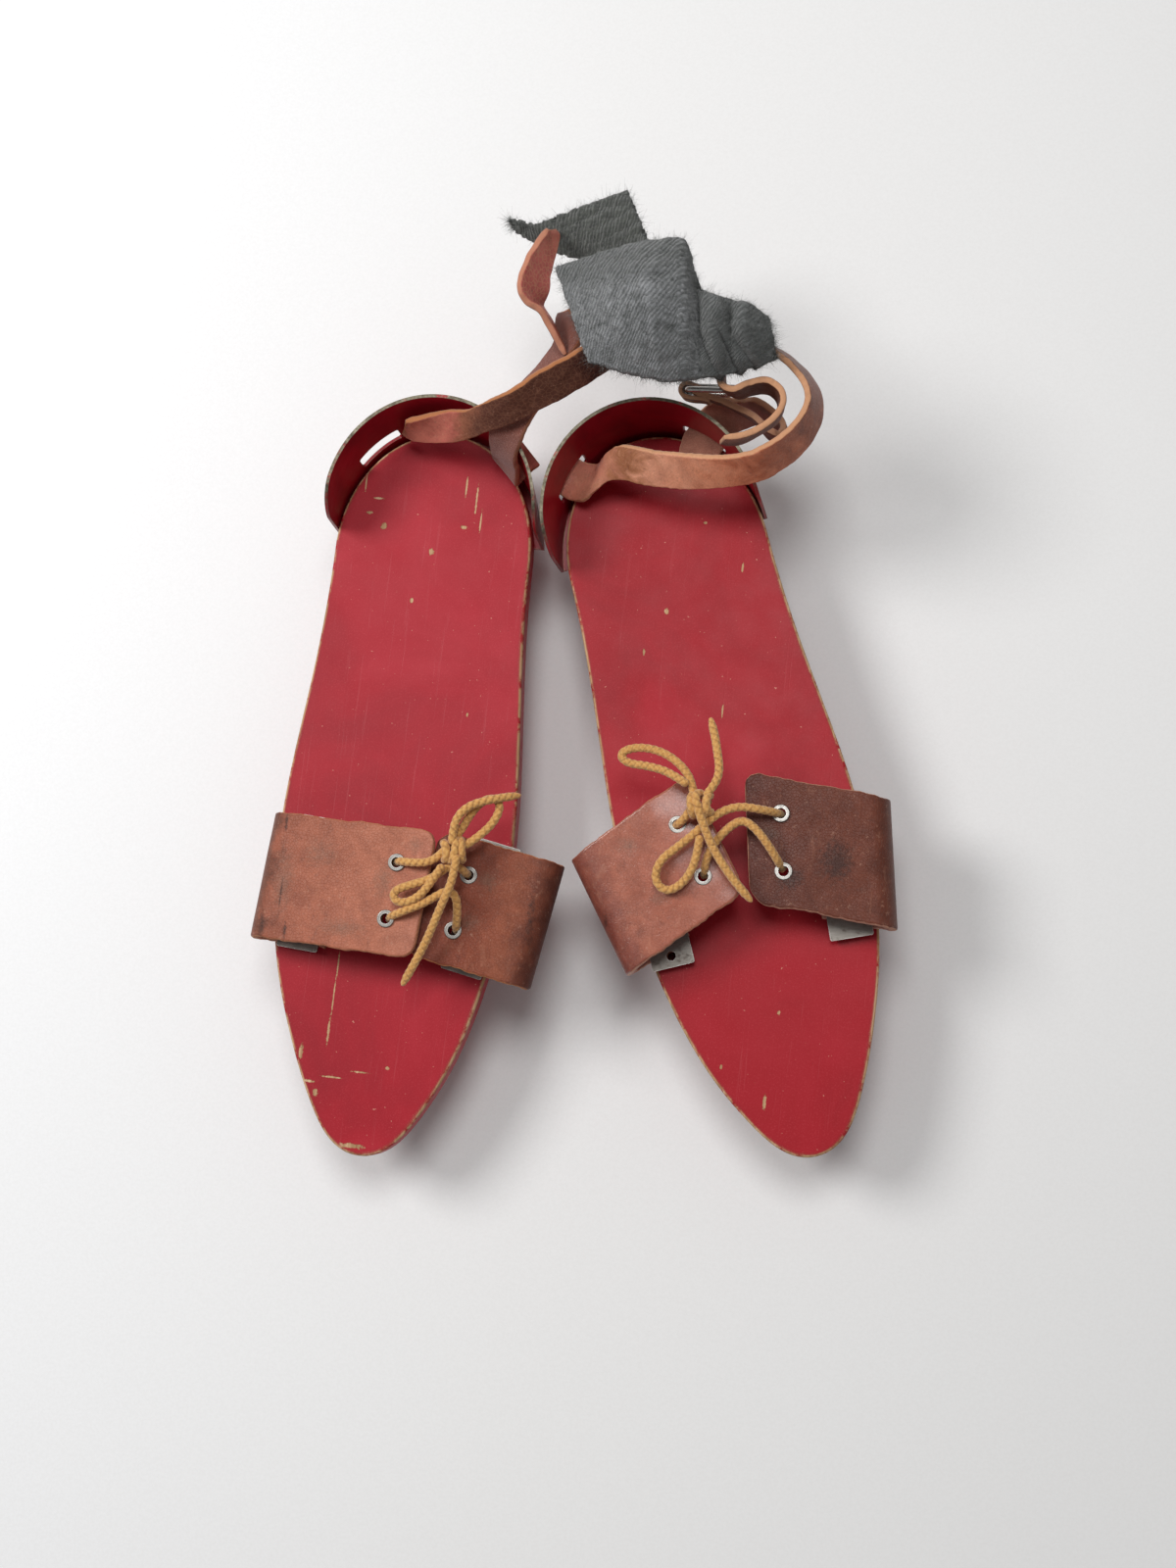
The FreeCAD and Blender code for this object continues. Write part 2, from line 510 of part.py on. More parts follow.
def slot_frame(which):
    """Middle of a strap slot in the wall, the way out through it, and the way along it."""
    level = SOLE_TOP + SLOT_OVER_SOLE
    x, y, half_width, depth = cup_section((level - CUP_BASE) / (CUP_TOP - CUP_BASE))
    angle = math.radians(SLOT_ANGLES[which])
    wall = CUP_SHEET / 2
    middle = V(x + (half_width - wall) * math.cos(angle), y + (depth - wall) * math.sin(angle), level)
    outward = unit(V(math.cos(angle) / half_width, math.sin(angle) / depth, 0))
    along = V(-outward.y, outward.x, 0)
    return middle, outward, along


def cup_screw_places():
    """Middles of the flange's screws, level with its underside."""
    places = []
    for degrees in CUP_SCREW_ANGLES:
        angle = math.radians(degrees)
        places.append(V(CUP_MIDDLE_X + (CUP_BASE_HALF_WIDTH - CUP_SCREW_INSET) * math.cos(angle),
                        CUP_MIDDLE_Y + (CUP_BASE_DEPTH - CUP_SCREW_INSET) * math.sin(angle), CUP_BASE))
    return places


def heel_cup():
    """Wall round the heel, with its flange, two strap slots and rounded front ends."""
    wall = cup_solid(0).cut(cup_solid(CUP_SHEET))
    x, y, half_width, depth = cup_section(0.0)
    rim = oval_wire(x, y, CUP_BASE, half_width, depth)
    hollow = oval_wire(x, y, CUP_BASE, half_width - CUP_FLANGE, depth - CUP_FLANGE)
    flange = Part.Face(rim).cut(Part.Face(hollow)).extrude(V(0, 0, CUP_SHEET))
    far = HEEL_Y + 2 * CUP_FLANGE
    below = CUP_BASE - CUP_SHEET
    side_view = [(CUP_FRONT_Y, below, 0), (CUP_FRONT_Y, SOLE_TOP + CUP_FRONT_HEIGHT, CUP_FRONT_ROUND),
                 (far, CUP_TOP + CUP_SHEET, 0), (far, below, 0)]
    half_span = 2 * CUP_BASE_HALF_WIDTH
    kept = outline_face(side_view, lambda y, z: V(-half_span, y, z)).extrude(V(2 * half_span, 0, 0))
    cup = wall.fuse(flange).common(kept)
    cutters = [screw_hole(place, CUP_SHEET + SCREW_BITE, 1) for place in cup_screw_places()]
    for which in SLOT_ANGLES:
        middle, outward, along = slot_frame(which)
        long_half, high_half = SLOT_LENGTH / 2, SLOT_HEIGHT / 2
        corners = [(-long_half, -high_half, SLOT_CORNER), (long_half, -high_half, SLOT_CORNER),
                   (long_half, high_half, SLOT_CORNER), (-long_half, high_half, SLOT_CORNER)]
        through = 4 * CUP_SHEET
        start = middle - outward * through
        face = outline_face(corners, lambda u, v: start + along * u + V(0, 0, v))
        cutters.append(face.extrude(outward * (2 * through)))
    return cup.cut(Part.makeCompound(cutters))


def plate_screw_places(plate):
    """Middles of a plate's holes on its top face, and which of them hold a screw."""
    ends = [PLATE_INSET_HOLE, PLATE_LENGTH / 2, PLATE_LENGTH - PLATE_END_HOLE]
    filled = [True, True, True]
    if plate["end_hole_at_toe"]:
        ends = [PLATE_LENGTH - end for end in ends]
        filled = [True, True, False]
    turn = math.radians(plate["turn"])
    long_way = V(-math.sin(turn), math.cos(turn), 0)
    middle = V(plate["x"], TOE_Y + plate["from_toe"], PLATE_TOP)
    places = [middle + long_way * (end - PLATE_LENGTH / 2) for end in ends]
    return list(zip(places, filled))


def strap_plate(plate):
    """Flat steel plate that clamps a flap's leg to the sole."""
    half_wide, half_long = PLATE_WIDTH / 2, PLATE_LENGTH / 2
    corners = [(-half_wide, -half_long, PLATE_CORNER), (half_wide, -half_long, PLATE_CORNER),
               (half_wide, half_long, PLATE_CORNER), (-half_wide, half_long, PLATE_CORNER)]
    face = outline_face(corners, lambda x, y: V(x, y, 0))
    body = face.extrude(V(0, 0, PLATE_THICK))
    body.rotate(V(0, 0, 0), V(0, 0, 1), plate["turn"])
    body.translate(V(plate["x"], TOE_Y + plate["from_toe"], PLATE_TOP - PLATE_THICK))
    holes = [screw_hole(place, PLATE_THICK * 2, -1) for place, _ in plate_screw_places(plate)]
    return body.cut(Part.makeCompound(holes))


def plate_screw_length():
    """Length of a plate screw's shank, through plate and leather into the wood."""
    return PLATE_THICK + FLAP_THICK + SCREW_BITE


def flap_axes(flap):
    """Fold line's middle, the way in from it, and the way along it, in the skate's frame."""
    yaw = math.radians(flap["yaw"])
    inward = V(-flap["side"] * math.cos(yaw), math.sin(yaw), 0)
    along = V(-inward.y, inward.x, 0)
    origin = V(flap["side"] * flap["out"], TOE_Y + flap["from_toe"], 0)
    heelward = 1 if along.y > 0 else -1
    return origin, inward + along * (flap["skew"] * heelward), along


def flap_levels(flap):
    """Height of the flap's middle layer at its flat end, and how far in the flat begins."""
    rise = math.radians(flap["rise"])
    radius, ease = FLAP_FOLD_RADIUS, FLAP_EASE_RADIUS
    level = SOLE_TOP + FLAP_THICK / 2 + radius + radius * math.cos(rise)
    level += flap["run"] * math.sin(rise) + ease * (1 - math.cos(rise))
    start = radius + FLAP_THICK / 2 - radius * math.sin(rise)
    start += flap["run"] * math.cos(rise) + ease * math.sin(rise)
    return level, start


def flap_profile(flap):
    """Side view of the folded band: leg, fold, rising run, easing bend and flat end."""
    half = FLAP_THICK / 2
    radius, ease, rise = FLAP_FOLD_RADIUS, FLAP_EASE_RADIUS, math.radians(flap["rise"])
    centre = V(radius + half, 0, SOLE_TOP + half + radius)
    level, flat_start = flap_levels(flap)
    ease_centre = V(flat_start, 0, level - ease)
    leg_end = V(FLAP_LEG, 0, SOLE_TOP + half)
    sides = []
    for offset in (half, -half):
        fold, bend = radius + offset, ease + offset
        low = centre + V(0, 0, -fold)
        around = centre + V(-fold, 0, 0)
        high = centre + V(-fold * math.sin(rise), 0, fold * math.cos(rise))
        eased = ease_centre + V(-bend * math.sin(rise), 0, bend * math.cos(rise))
        crest = ease_centre + V(-bend * math.sin(rise / 2), 0, bend * math.cos(rise / 2))
        flat = ease_centre + V(0, 0, bend)
        sides.append([
            Part.LineSegment(leg_end + V(0, 0, -offset), low).toShape(),
            Part.Arc(low, around, high).toShape(),
            Part.LineSegment(high, eased).toShape(),
            Part.Arc(eased, crest, flat).toShape(),
            Part.LineSegment(flat, V(flap["reach"], 0, level + offset)).toShape()])
    caps = [Part.LineSegment(leg_end + V(0, 0, -half), leg_end + V(0, 0, half)).toShape(),
            Part.LineSegment(V(flap["reach"], 0, level - half), V(flap["reach"], 0, level + half)).toShape()]
    return Part.Face(Part.Wire(Part.__sortEdges__(sides[0] + sides[1] + caps)))


def flap_point(flap, inward_distance, along_distance, level):
    """Point of a flap given by its distances from the middle of the fold line."""
    origin, inward, along = flap_axes(flap)
    return origin + inward * inward_distance + along * along_distance + V(0, 0, level)


def eyelet_places(flap):
    """Middles of a flap's two eyelets on its upper face."""
    level = flap_levels(flap)[0] + FLAP_THICK / 2
    inward_distance = flap["reach"] - flap["eyelets"]
    return [flap_point(flap, inward_distance, offset, level)
            for offset in (-EYELET_SPACING / 2, EYELET_SPACING / 2)]


def toe_flap(flap, plate):
    """Leather band, folded, with rounded free corners and the holes of eyelets and screws."""
    half = FLAP_WIDTH / 2
    band = flap_profile(flap).extrude(V(0, FLAP_WIDTH, 0))
    band.translate(V(0, -half, 0))
    before = -FLAP_WIDTH
    corners = [(before, -half, 0), (flap["reach"], -half, FLAP_CORNER),
               (flap["reach"], half, FLAP_CORNER), (before, half, 0)]
    kept = outline_face(corners, lambda x, y: V(x, y, 0)).extrude(V(0, 0, 4 * SOLE_TOP))
    band = band.common(kept)
    origin, inward, along = flap_axes(flap)
    band = band.transformGeometry(Matrix(inward.x, along.x, 0, origin.x,
                                         inward.y, along.y, 0, origin.y,
                                         0, 0, 1, 0, 0, 0, 0, 1))
    cutters = [cylinder(EYELET_BARREL + FIT, 2 * FLAP_THICK, place - V(0, 0, 1.5 * FLAP_THICK))
               for place in eyelet_places(flap)]
    cutters += [screw_hole(place, plate_screw_length(), -1)
                for place, filled in plate_screw_places(plate) if filled]
    return band.cut(Part.makeCompound(cutters))


def eyelet(top):
    """Metal eyelet: flange on top, barrel through the leather, rolled rim underneath."""
    above = cylinder(EYELET_FLANGE, EYELET_FLANGE_THICK, top)
    above = above.makeFillet(EYELET_EDGE_ROUND, [above.Edges[0]])
    barrel = cylinder(EYELET_BARREL, FLAP_THICK, top - V(0, 0, FLAP_THICK))
    below = cylinder(EYELET_ROLL, EYELET_FLANGE_THICK, top - V(0, 0, FLAP_THICK + EYELET_FLANGE_THICK))
    bore = cylinder(EYELET_BORE, 3 * FLAP_THICK, top - V(0, 0, 2 * FLAP_THICK))
    return fuse_all([above, barrel, below]).cut(bore)


def cord(route, name):
    """Round lace along straight runs and tangent arcs; prints its radii and checks its volume."""
    points = [V(*point) for point in route]
    radii = [0.0] * len(points)
    for i in range(1, len(points) - 1):
        before, after = points[i] - points[i - 1], points[i + 1] - points[i]
        shorter = min(before.Length, after.Length)
        radii[i] = LACE_ARC_SHARE * shorter / math.tan(before.getAngle(after) / 2)
    path = Part.Wire(tangent_path(points, radii))
    ring = Part.Circle(points[0], points[1] - points[0], LACE_DIAMETER / 2).toShape()
    tube = path.makePipeShell([Part.Wire([ring])], True, False)
    expected = math.pi * (LACE_DIAMETER / 2) ** 2 * path.Length
    bends = " ".join("%.0f" % radius for radius in radii[1:-1])
    print("%s: %.0f mm long, volume %.3f of section x length, radii %s"
          % (name, path.Length, tube.Volume / expected, bends))
    return tube


def lace_knot(place):
    """The half-bow's knot: a round core with one turn of the lace wrapped over it."""
    core = Part.makeSphere(0.5)
    core = core.transformGeometry(Matrix(KNOT_SIZE[0], 0, 0, place[0], 0, KNOT_SIZE[1], 0, place[1],
                                         0, 0, KNOT_SIZE[2], place[2], 0, 0, 0, 1))
    turn = Part.makeTorus(KNOT_SIZE[2] / 2, LACE_DIAMETER / 2, V(*place), V(*KNOT_TURN_AXIS))
    return core.fuse(turn)


def ribbon_frames(pairs):
    """Middle, width direction and thickness direction at each pair of edge points."""
    middles = [(V(*a) + V(*b)) / 2 for a, b in pairs]
    frames = []
    for i, (a, b) in enumerate(pairs):
        ahead = middles[min(i + 1, len(pairs) - 1)] - middles[max(i - 1, 0)]
        across = unit(V(*a) - V(*b))
        frames.append((middles[i], across, unit(ahead.cross(across))))
    return frames


def ribbon(pairs):
    """Flat strap through the pairs of edge points, at the strap's own width and thickness."""
    sections = []
    for middle, across, facing in ribbon_frames(pairs):
        wide = across * (STRAP_WIDTH / 2)
        thick = facing * (STRAP_THICK / 2)
        corners = [middle + wide + thick, middle - wide + thick, middle - wide - thick,
                   middle + wide - thick]
        sections.append(Part.makePolygon(corners + corners[:1]))
    lengths = [Part.makeLoft(list(ends), True, True) for ends in zip(sections, sections[1:])]
    return lengths[0].multiFuse(lengths[1:])


def slot_pair(which, distance, tilt=0.0, facing=1):
    """Edge points of a strap lying in a slot, moved out along the slot's axis and tilted."""
    middle, outward, along = slot_frame(which)
    half = STRAP_WIDTH / 2
    tip = math.radians(tilt)
    across = along * (facing * half * math.cos(tip)) + V(0, 0, half * math.sin(tip))
    here = middle + outward * distance
    return tuple(here + across), tuple(here - across)


def eyed_ribbon(pairs):
    """Strap whose last end is sewn round a buckle's bar, with a gap in the middle for the prong."""
    middle, across, ahead = strap_eye(pairs)
    bore = BUCKLE_WIRE / 2 + BUCKLE_EYE_GAP
    half = STRAP_WIDTH / 2
    start = middle - across * half
    strap = ribbon(pairs).fuse(cylinder(bore + STRAP_THICK, STRAP_WIDTH, start, across))
    bar_hole = cylinder(bore, STRAP_WIDTH * 2, start - across * half, across)
    facing = across.cross(ahead)
    reach = bore + STRAP_THICK
    gap_half = BUCKLE_EYE_SLOT / 2
    base = middle - across * gap_half - facing * (2 * reach) - ahead * reach
    high, far = facing * (4 * reach), ahead * (3 * reach)
    face = Part.Face(Part.makePolygon([base, base + high, base + high + far, base + far, base]))
    return strap.cut(bar_hole).cut(face.extrude(across * BUCKLE_EYE_SLOT))


def strap_eye(pairs):
    """Middle of the eye at a strap's end, the bar's direction, and the strap's own direction."""
    middle, across, facing = ribbon_frames(pairs)[-1]
    ahead = across.cross(facing)
    before = ribbon_frames(pairs)[-2][0]
    if ahead.dot(middle - before) < 0:
        ahead = ahead * -1
    return middle + ahead * (BUCKLE_WIRE / 2 + BUCKLE_EYE_GAP + STRAP_THICK * BUCKLE_EYE_SINK), across, ahead


def turned(vector, axis, degrees):
    """A vector turned about an axis."""
    return Rotation(axis, degrees).multVec(vector)


def buckle_frame(eye, fold):
    """Bent wire rectangle whose near bar lies in the strap's eye, folded about that bar."""
    middle, across, ahead = eye
    out = turned(ahead, across, fold)
    half = (BUCKLE_INSIDE + BUCKLE_WIRE) / 2
    corners = [middle - across * half, middle - across * half + out * BUCKLE_LENGTH,
               middle + across * half + out * BUCKLE_LENGTH, middle + across * half]
    path = Part.Wire(Part.__sortEdges__(tangent_path(corners, [BUCKLE_CORNER] * 4, closed=True)))
    first = path.OrderedEdges[0]
    start, heading = first.valueAt(first.FirstParameter), first.tangentAt(first.FirstParameter)
    ring = Part.Wire([Part.Circle(start, heading, BUCKLE_WIRE / 2).toShape()])
    return path.makePipeShell([ring], True, False)


def buckle_prong(eye, fold, side):
    """Ring that turns on the buckle's bar, with a finger that lies on the far bar."""
    middle, across, ahead = eye
    out = turned(ahead, across, fold)
    up = across.cross(out) * side
    bore = BUCKLE_WIRE / 2 + PRONG_CLEARANCE
    start = middle - across * (PRONG_RING_WIDTH / 2)
    ring = cylinder(bore + PRONG_RING_WALL, PRONG_RING_WIDTH, start, across)
    lift = (BUCKLE_WIRE + PRONG_WIRE) / 2 + PRONG_CLEARANCE
    finger = cylinder(PRONG_WIRE / 2, BUCKLE_LENGTH + BUCKLE_WIRE, middle + up * lift, out)
    hole = cylinder(bore, 2 * PRONG_RING_WIDTH, start - across * (PRONG_RING_WIDTH / 2), across)
    return ring.fuse(finger).cut(hole)


def felt_pad(rows):
    """Sheet of felt lofted through its rows, each an arc on the top face and one below it."""
    sections = []
    down = V(0, 0, -FELT_THICK)
    for far_end, near_end, crown in rows:
        start, end = V(*far_end), V(*near_end)
        middle = (start + end) / 2 + V(0, 0, crown)
        edges = [Part.Arc(start, middle, end).toShape(),
                 Part.LineSegment(end, end + down).toShape(),
                 Part.Arc(end + down, middle + down, start + down).toShape(),
                 Part.LineSegment(start + down, start).toShape()]
        sections.append(Part.Wire(edges))
    return Part.makeLoft(sections, True, False)


def at_right_place(shape):
    """Move a shape from the right skate's own frame to its place beside the left skate."""
    moved = shape.mirror(V(0, 0, 0), V(1, 0, 0))
    moved.Placement = Placement(V(RIGHT_X, RIGHT_Y, 0), Rotation(V(0, 0, 1), RIGHT_TURN)) * moved.Placement
    return moved


def skate(side):
    """All the rigid pieces and the laced flaps of one skate, in its own frame."""
    flaps, plates = FLAPS[side], PLATES[side]
    plate_screws = [(place, filled) for plate in plates.values() for place, filled in plate_screw_places(plate)]
    front, rear = post_spans()
    angle_places = angle_screw_places(front) + angle_screw_places(rear)
    angle_length = ANGLE_THICK + SCREW_BITE
    cup_length = CUP_SHEET + SCREW_BITE
    holes = [screw_hole(place, angle_length, 1) for place in angle_places]
    holes += [screw_hole(place, cup_length, 1) for place in cup_screw_places()]
    holes += [screw_hole(place, plate_screw_length(), -1) for place, _ in plate_screws]
    pieces = {
        "sole": sole(holes),
        "runner": runner(),
        "front_angles": post_angles(front),
        "rear_angles": post_angles(rear),
        "runner_rivets": runner_rivets(),
        "angle_screws": Part.makeCompound([wood_screw(place, angle_length, 1) for place in angle_places]),
        "heel_cup": heel_cup(),
        "cup_screws": Part.makeCompound([wood_screw(place, cup_length, 1) for place in cup_screw_places()]),
        "plate_screws": Part.makeCompound([wood_screw(place, plate_screw_length(), -1)
                                           for place, filled in plate_screws if filled]),
        "lace_knot": lace_knot(KNOTS[side]),
    }
    for which in ("outer", "inner"):
        pieces[which + "_strap_plate"] = strap_plate(plates[which])
        pieces[which + "_toe_flap"] = toe_flap(flaps[which], plates[which])
    pieces["eyelets"] = Part.makeCompound([eyelet(place) for flap in flaps.values()
                                           for place in eyelet_places(flap)])
    for name, route in LACES[side].items():
        pieces[name] = cord(route, side + "_" + name)
    return pieces


def soft_straps():
    """Ankle straps, slot strap and buckle strap, with the eyes that hold the two buckles."""
    left_slot = [slot_pair("inner", 6, 0, -1), slot_pair("inner", 0, 0, -1)] + STRAPS["left_slot"]
    right_ankle = [slot_pair("inner", 6), slot_pair("inner", 0), slot_pair("inner", -4, 20)]
    right_buckle = RIGHT_STUB + [slot_pair("outer", -4, 0, -1), slot_pair("outer", 0, 0, -1),
                                 slot_pair("outer", 4, 10, -1)] + STRAPS["right_buckle"]
    left = {"ankle_strap": eyed_ribbon(STRAPS["left_ankle"]),
            "slot_strap": ribbon(left_slot).fuse(ribbon(STRAPS["left_slot_tail"]))}
    right = {"ankle_strap": ribbon(right_ankle + STRAPS["right_ankle"]),
             "buckle_strap": eyed_ribbon(right_buckle)}
    return left, right, {"left": strap_eye(STRAPS["left_ankle"]), "right": strap_eye(right_buckle)}


def assembled():
    """Every piece of both skates at its place, by node name."""
    left_straps, right_straps, eyes = soft_straps()
    nodes = {}
    for side, straps in (("left", left_straps), ("right", right_straps)):
        pieces = skate(side)
        pieces.update(straps)
        pieces["felt_pad"] = felt_pad(FELTS[side])
        pieces["buckle_frame"] = buckle_frame(eyes[side], BUCKLE_FOLDS[side])
        pieces["buckle_prong"] = buckle_prong(eyes[side], BUCKLE_FOLDS[side], PRONG_SIDES[side])
        for name, shape in pieces.items():
            nodes[side + "_" + name] = shape if side == "left" else at_right_place(shape)
    return nodes


def main():
    for name, shape in assembled().items():
        shape.exportStep("parts/%s.step" % name)
        print(name, "solids", len(shape.Solids), "valid", shape.isValid(), "volume %.1f" % shape.Volume)


main()
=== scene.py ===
"""Looks of a pair of old strap-on ice skates with red wooden soles, seen from above on a pale table.

Lengths in the lists are millimetres in each skate's own frame, as in the part's source; the right
skate is mirrored, turned and set beside the left one.  Meshes are in metres in the row's frame.
"""
import math

import bpy
import numpy as np
from mathutils import Matrix


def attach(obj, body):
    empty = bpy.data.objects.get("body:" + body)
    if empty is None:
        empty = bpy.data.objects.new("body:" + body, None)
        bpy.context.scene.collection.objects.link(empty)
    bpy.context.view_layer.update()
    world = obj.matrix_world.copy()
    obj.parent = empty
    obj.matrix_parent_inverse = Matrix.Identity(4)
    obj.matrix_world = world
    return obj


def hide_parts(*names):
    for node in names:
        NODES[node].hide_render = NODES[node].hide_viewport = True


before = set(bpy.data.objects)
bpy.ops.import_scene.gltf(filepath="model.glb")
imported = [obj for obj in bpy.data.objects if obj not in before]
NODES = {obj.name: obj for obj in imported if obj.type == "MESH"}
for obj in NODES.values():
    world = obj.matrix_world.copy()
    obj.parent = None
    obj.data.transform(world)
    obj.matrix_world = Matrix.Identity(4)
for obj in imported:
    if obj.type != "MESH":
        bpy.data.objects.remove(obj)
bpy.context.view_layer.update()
MM = 0.001


# The photograph's view and light: the pair stands on a table and is seen from nearly straight above,
# lit by a wide soft window on the left and a weaker light over it.

def set_camera():
    """The photograph's view: nearly straight down, turned a little, with a normal lens."""
    axes = Matrix(((0.98638, -0.093357, 0.135423), (0.110466, 0.986004, -0.124877),
                   (-0.121869, 0.138136, 0.982887)))
    camera = bpy.data.objects.new("camera", bpy.data.cameras.new("camera"))
    bpy.context.scene.collection.objects.link(camera)
    camera.matrix_world = Matrix.Translation((0.170546, -0.084739, 0.7669)) @ axes.to_4x4()
    camera.data.sensor_fit = "VERTICAL"
    camera.data.sensor_height = 36
    camera.data.lens = 45
    camera.data.clip_start = 0.01
    bpy.context.scene.camera = camera


def add_light(name, place, target, size, energy, colour):
    """Soft area light that faces a target."""
    lamp = bpy.data.objects.new(name, bpy.data.lights.new(name, "AREA"))
    lamp.data.shape = "DISK"
    lamp.data.size = size
    lamp.data.energy = energy
    lamp.data.color = colour
    way = np.array(target, float) - np.array(place, float)
    back = -way / np.linalg.norm(way)
    side = np.cross((0, 1, 0.01), back)
    side /= np.linalg.norm(side)
    up = np.cross(back, side)
    lamp.matrix_world = Matrix.Translation(place) @ Matrix(np.array([side, up, back]).T.tolist()).to_4x4()
    bpy.context.scene.collection.objects.link(lamp)


def set_world(strength):
    """Even pale surroundings that fill the shadows."""
    world = bpy.data.worlds.new("surroundings")
    world.use_nodes = True
    background = world.node_tree.nodes["Background"]
    background.inputs["Color"].default_value = (1.0, 0.99, 0.985, 1)
    background.inputs["Strength"].default_value = strength
    bpy.context.scene.world = world


scene = bpy.context.scene
scene.render.resolution_x, scene.render.resolution_y = 1200, 1600
scene.view_settings.view_transform = "Standard"
set_camera()
set_world(0.25)
add_light("window", (-0.85, 0.30, 1.15), (0.05, 0.0, 0.0), 0.6, 11.6, (1.0, 0.995, 0.985))
add_light("ceiling", (0.12, 0.45, 1.5), (0.1, 0.0, 0.0), 0.6, 9.0, (1.0, 0.995, 0.99))


# Soles: two mirrored boards of pale wood, sawn to the outline of a foot and painted a thick red.
# The paint is scratched, chipped and worn to the wood along the edges.  All else is fixed to them.

def tone(red, green, blue):
    """Linear colour from display values of 0 to 255."""
    values = [channel / 255 for channel in (red, green, blue)]
    return [v / 12.92 if v <= 0.04045 else ((v + 0.055) / 1.055) ** 2.4 for v in values] + [1.0]


class Graph:
    """Short names for the nodes of one material or node group."""

    def __init__(self, tree):
        self.tree = tree

    def add(self, kind, values=(), **settings):
        node = self.tree.nodes.new("ShaderNode" + kind)
        for name, value in settings.items():
            setattr(node, name, value)
        for name, value in dict(values).items():
            self.put(node.inputs[name], value)
        return node

    def put(self, socket, value):
        if isinstance(value, bpy.types.NodeSocket):
            self.tree.links.new(value, socket)
        else:
            socket.default_value = value

    def math(self, operation, a, b=0.0, clamp=False):
        return self.add("Math", {0: a, 1: b}, operation=operation, use_clamp=clamp).outputs[0]

    def times(self, a, b):
        return self.math("MULTIPLY", a, b)

    def centred(self, noise, size):
        """Noise of 0 to 1 as a swing of that size about nought."""
        return self.times(self.math("SUBTRACT", noise, 0.5), size)

    def most(self, *masks):
        """Highest of several masks at each place."""
        total = masks[0]
        for mask in masks[1:]:
            total = self.math("MAXIMUM", total, mask)
        return total

    def mix(self, share, a, b, blend="MIX"):
        node = self.add("Mix", data_type="RGBA", blend_type=blend)
        for index, value in ((0, share), (6, a), (7, b)):
            self.put(node.inputs[index], value)
        return node.outputs[2]

    def noise(self, vector, scale, detail=4.0, rough=0.6, warp=0.0):
        return self.add("TexNoise", {"Vector": vector, "Scale": scale, "Detail": detail, "Roughness": rough,
                                     "Distortion": warp}).outputs["Fac"]

    def step(self, value, low, high):
        """Straight rise from 0 at low to 1 at high, kept within 0 and 1."""
        node = self.add("MapRange", {"Value": value, "From Min": low, "From Max": high}, clamp=True)
        return node.outputs["Result"]

    def ramp(self, value, stops):
        node = self.add("ValToRGB", {"Fac": value})
        elements = node.color_ramp.elements
        while len(elements) < len(stops):
            elements.new(0.5)
        for element, (place, colour) in zip(elements, stops):
            element.position = place
            element.color = colour
        return node.outputs["Color"]

    def stretch(self, vector, x, y, z):
        return self.add("VectorMath", {0: vector, 1: (x, y, z)}, operation="MULTIPLY").outputs[0]

    def place(self):
        return self.add("TexCoord").outputs["Object"]

    def sheet_place(self):
        return self.add("TexCoord").outputs["UV"]

    def value(self, name):
        return self.add("Attribute", attribute_name=name).outputs["Fac"]

    def bump(self, height, distance, strength):
        values = {"Height": height, "Distance": distance, "Strength": strength}
        return self.add("Bump", values).outputs["Normal"]

    def group(self, tree, **values):
        node = self.add("Group")
        node.node_tree = tree
        for name, value in values.items():
            self.put(node.inputs[name], value)
        return node.outputs


def new_group(name, inputs, outputs, build):
    """Node group with named sockets, filled by the build function."""
    tree = bpy.data.node_groups.new(name, "ShaderNodeTree")
    for kind, sockets in (("INPUT", inputs), ("OUTPUT", outputs)):
        for socket, socket_type in sockets.items():
            tree.interface.new_socket(name=socket, in_out=kind, socket_type="NodeSocket" + socket_type)
    graph = Graph(tree)
    entry, leave = tree.nodes.new("NodeGroupInput"), tree.nodes.new("NodeGroupOutput")
    for socket, result in build(graph, entry.outputs).items():
        tree.links.new(result, leave.inputs[socket])
    return tree


def build_spot(g, given):
    """Ragged patch: the warped distance from a centre in radii, turned into a soft-edged mask."""
    away = g.add("VectorMath", {0: given["Vector"], 1: given["Centre"]}, operation="SUBTRACT").outputs[0]
    away = g.add("VectorMath", {0: away, 1: given["Radii"]}, operation="DIVIDE").outputs[0]
    distance = g.add("VectorMath", {0: away}, operation="LENGTH").outputs["Value"]
    warp = g.noise(given["Vector"], 620.0, 6.0, 0.75)
    distance = g.math("ADD", distance, g.centred(warp, 2.6))
    return {"Mask": g.step(distance, 1.0, given["Core"])}


def build_edge(g, given):
    """Mask of the band within a radius of a sharp edge, broken up by noise."""
    rounded = g.add("Bevel", {"Radius": given["Radius"]}, samples=6).outputs["Normal"]
    flat = g.add("NewGeometry").outputs["Normal"]
    alike = g.add("VectorMath", {0: rounded, 1: flat}, operation="DOT_PRODUCT").outputs["Value"]
    bent = g.times(g.math("SUBTRACT", 1.0, alike), 7.0)
    ragged = g.noise(given["Vector"], 420.0, 6.0, 0.75)
    broad = g.noise(given["Vector"], 46.0, 3.0, 0.6)
    broken = g.math("ADD", g.centred(ragged, 3.4), g.centred(broad, 3.2))
    total = g.times(bent, g.math("ADD", 1.0, broken))
    return {"Mask": g.step(total, given["Start"], g.math("ADD", given["Start"], 0.22))}


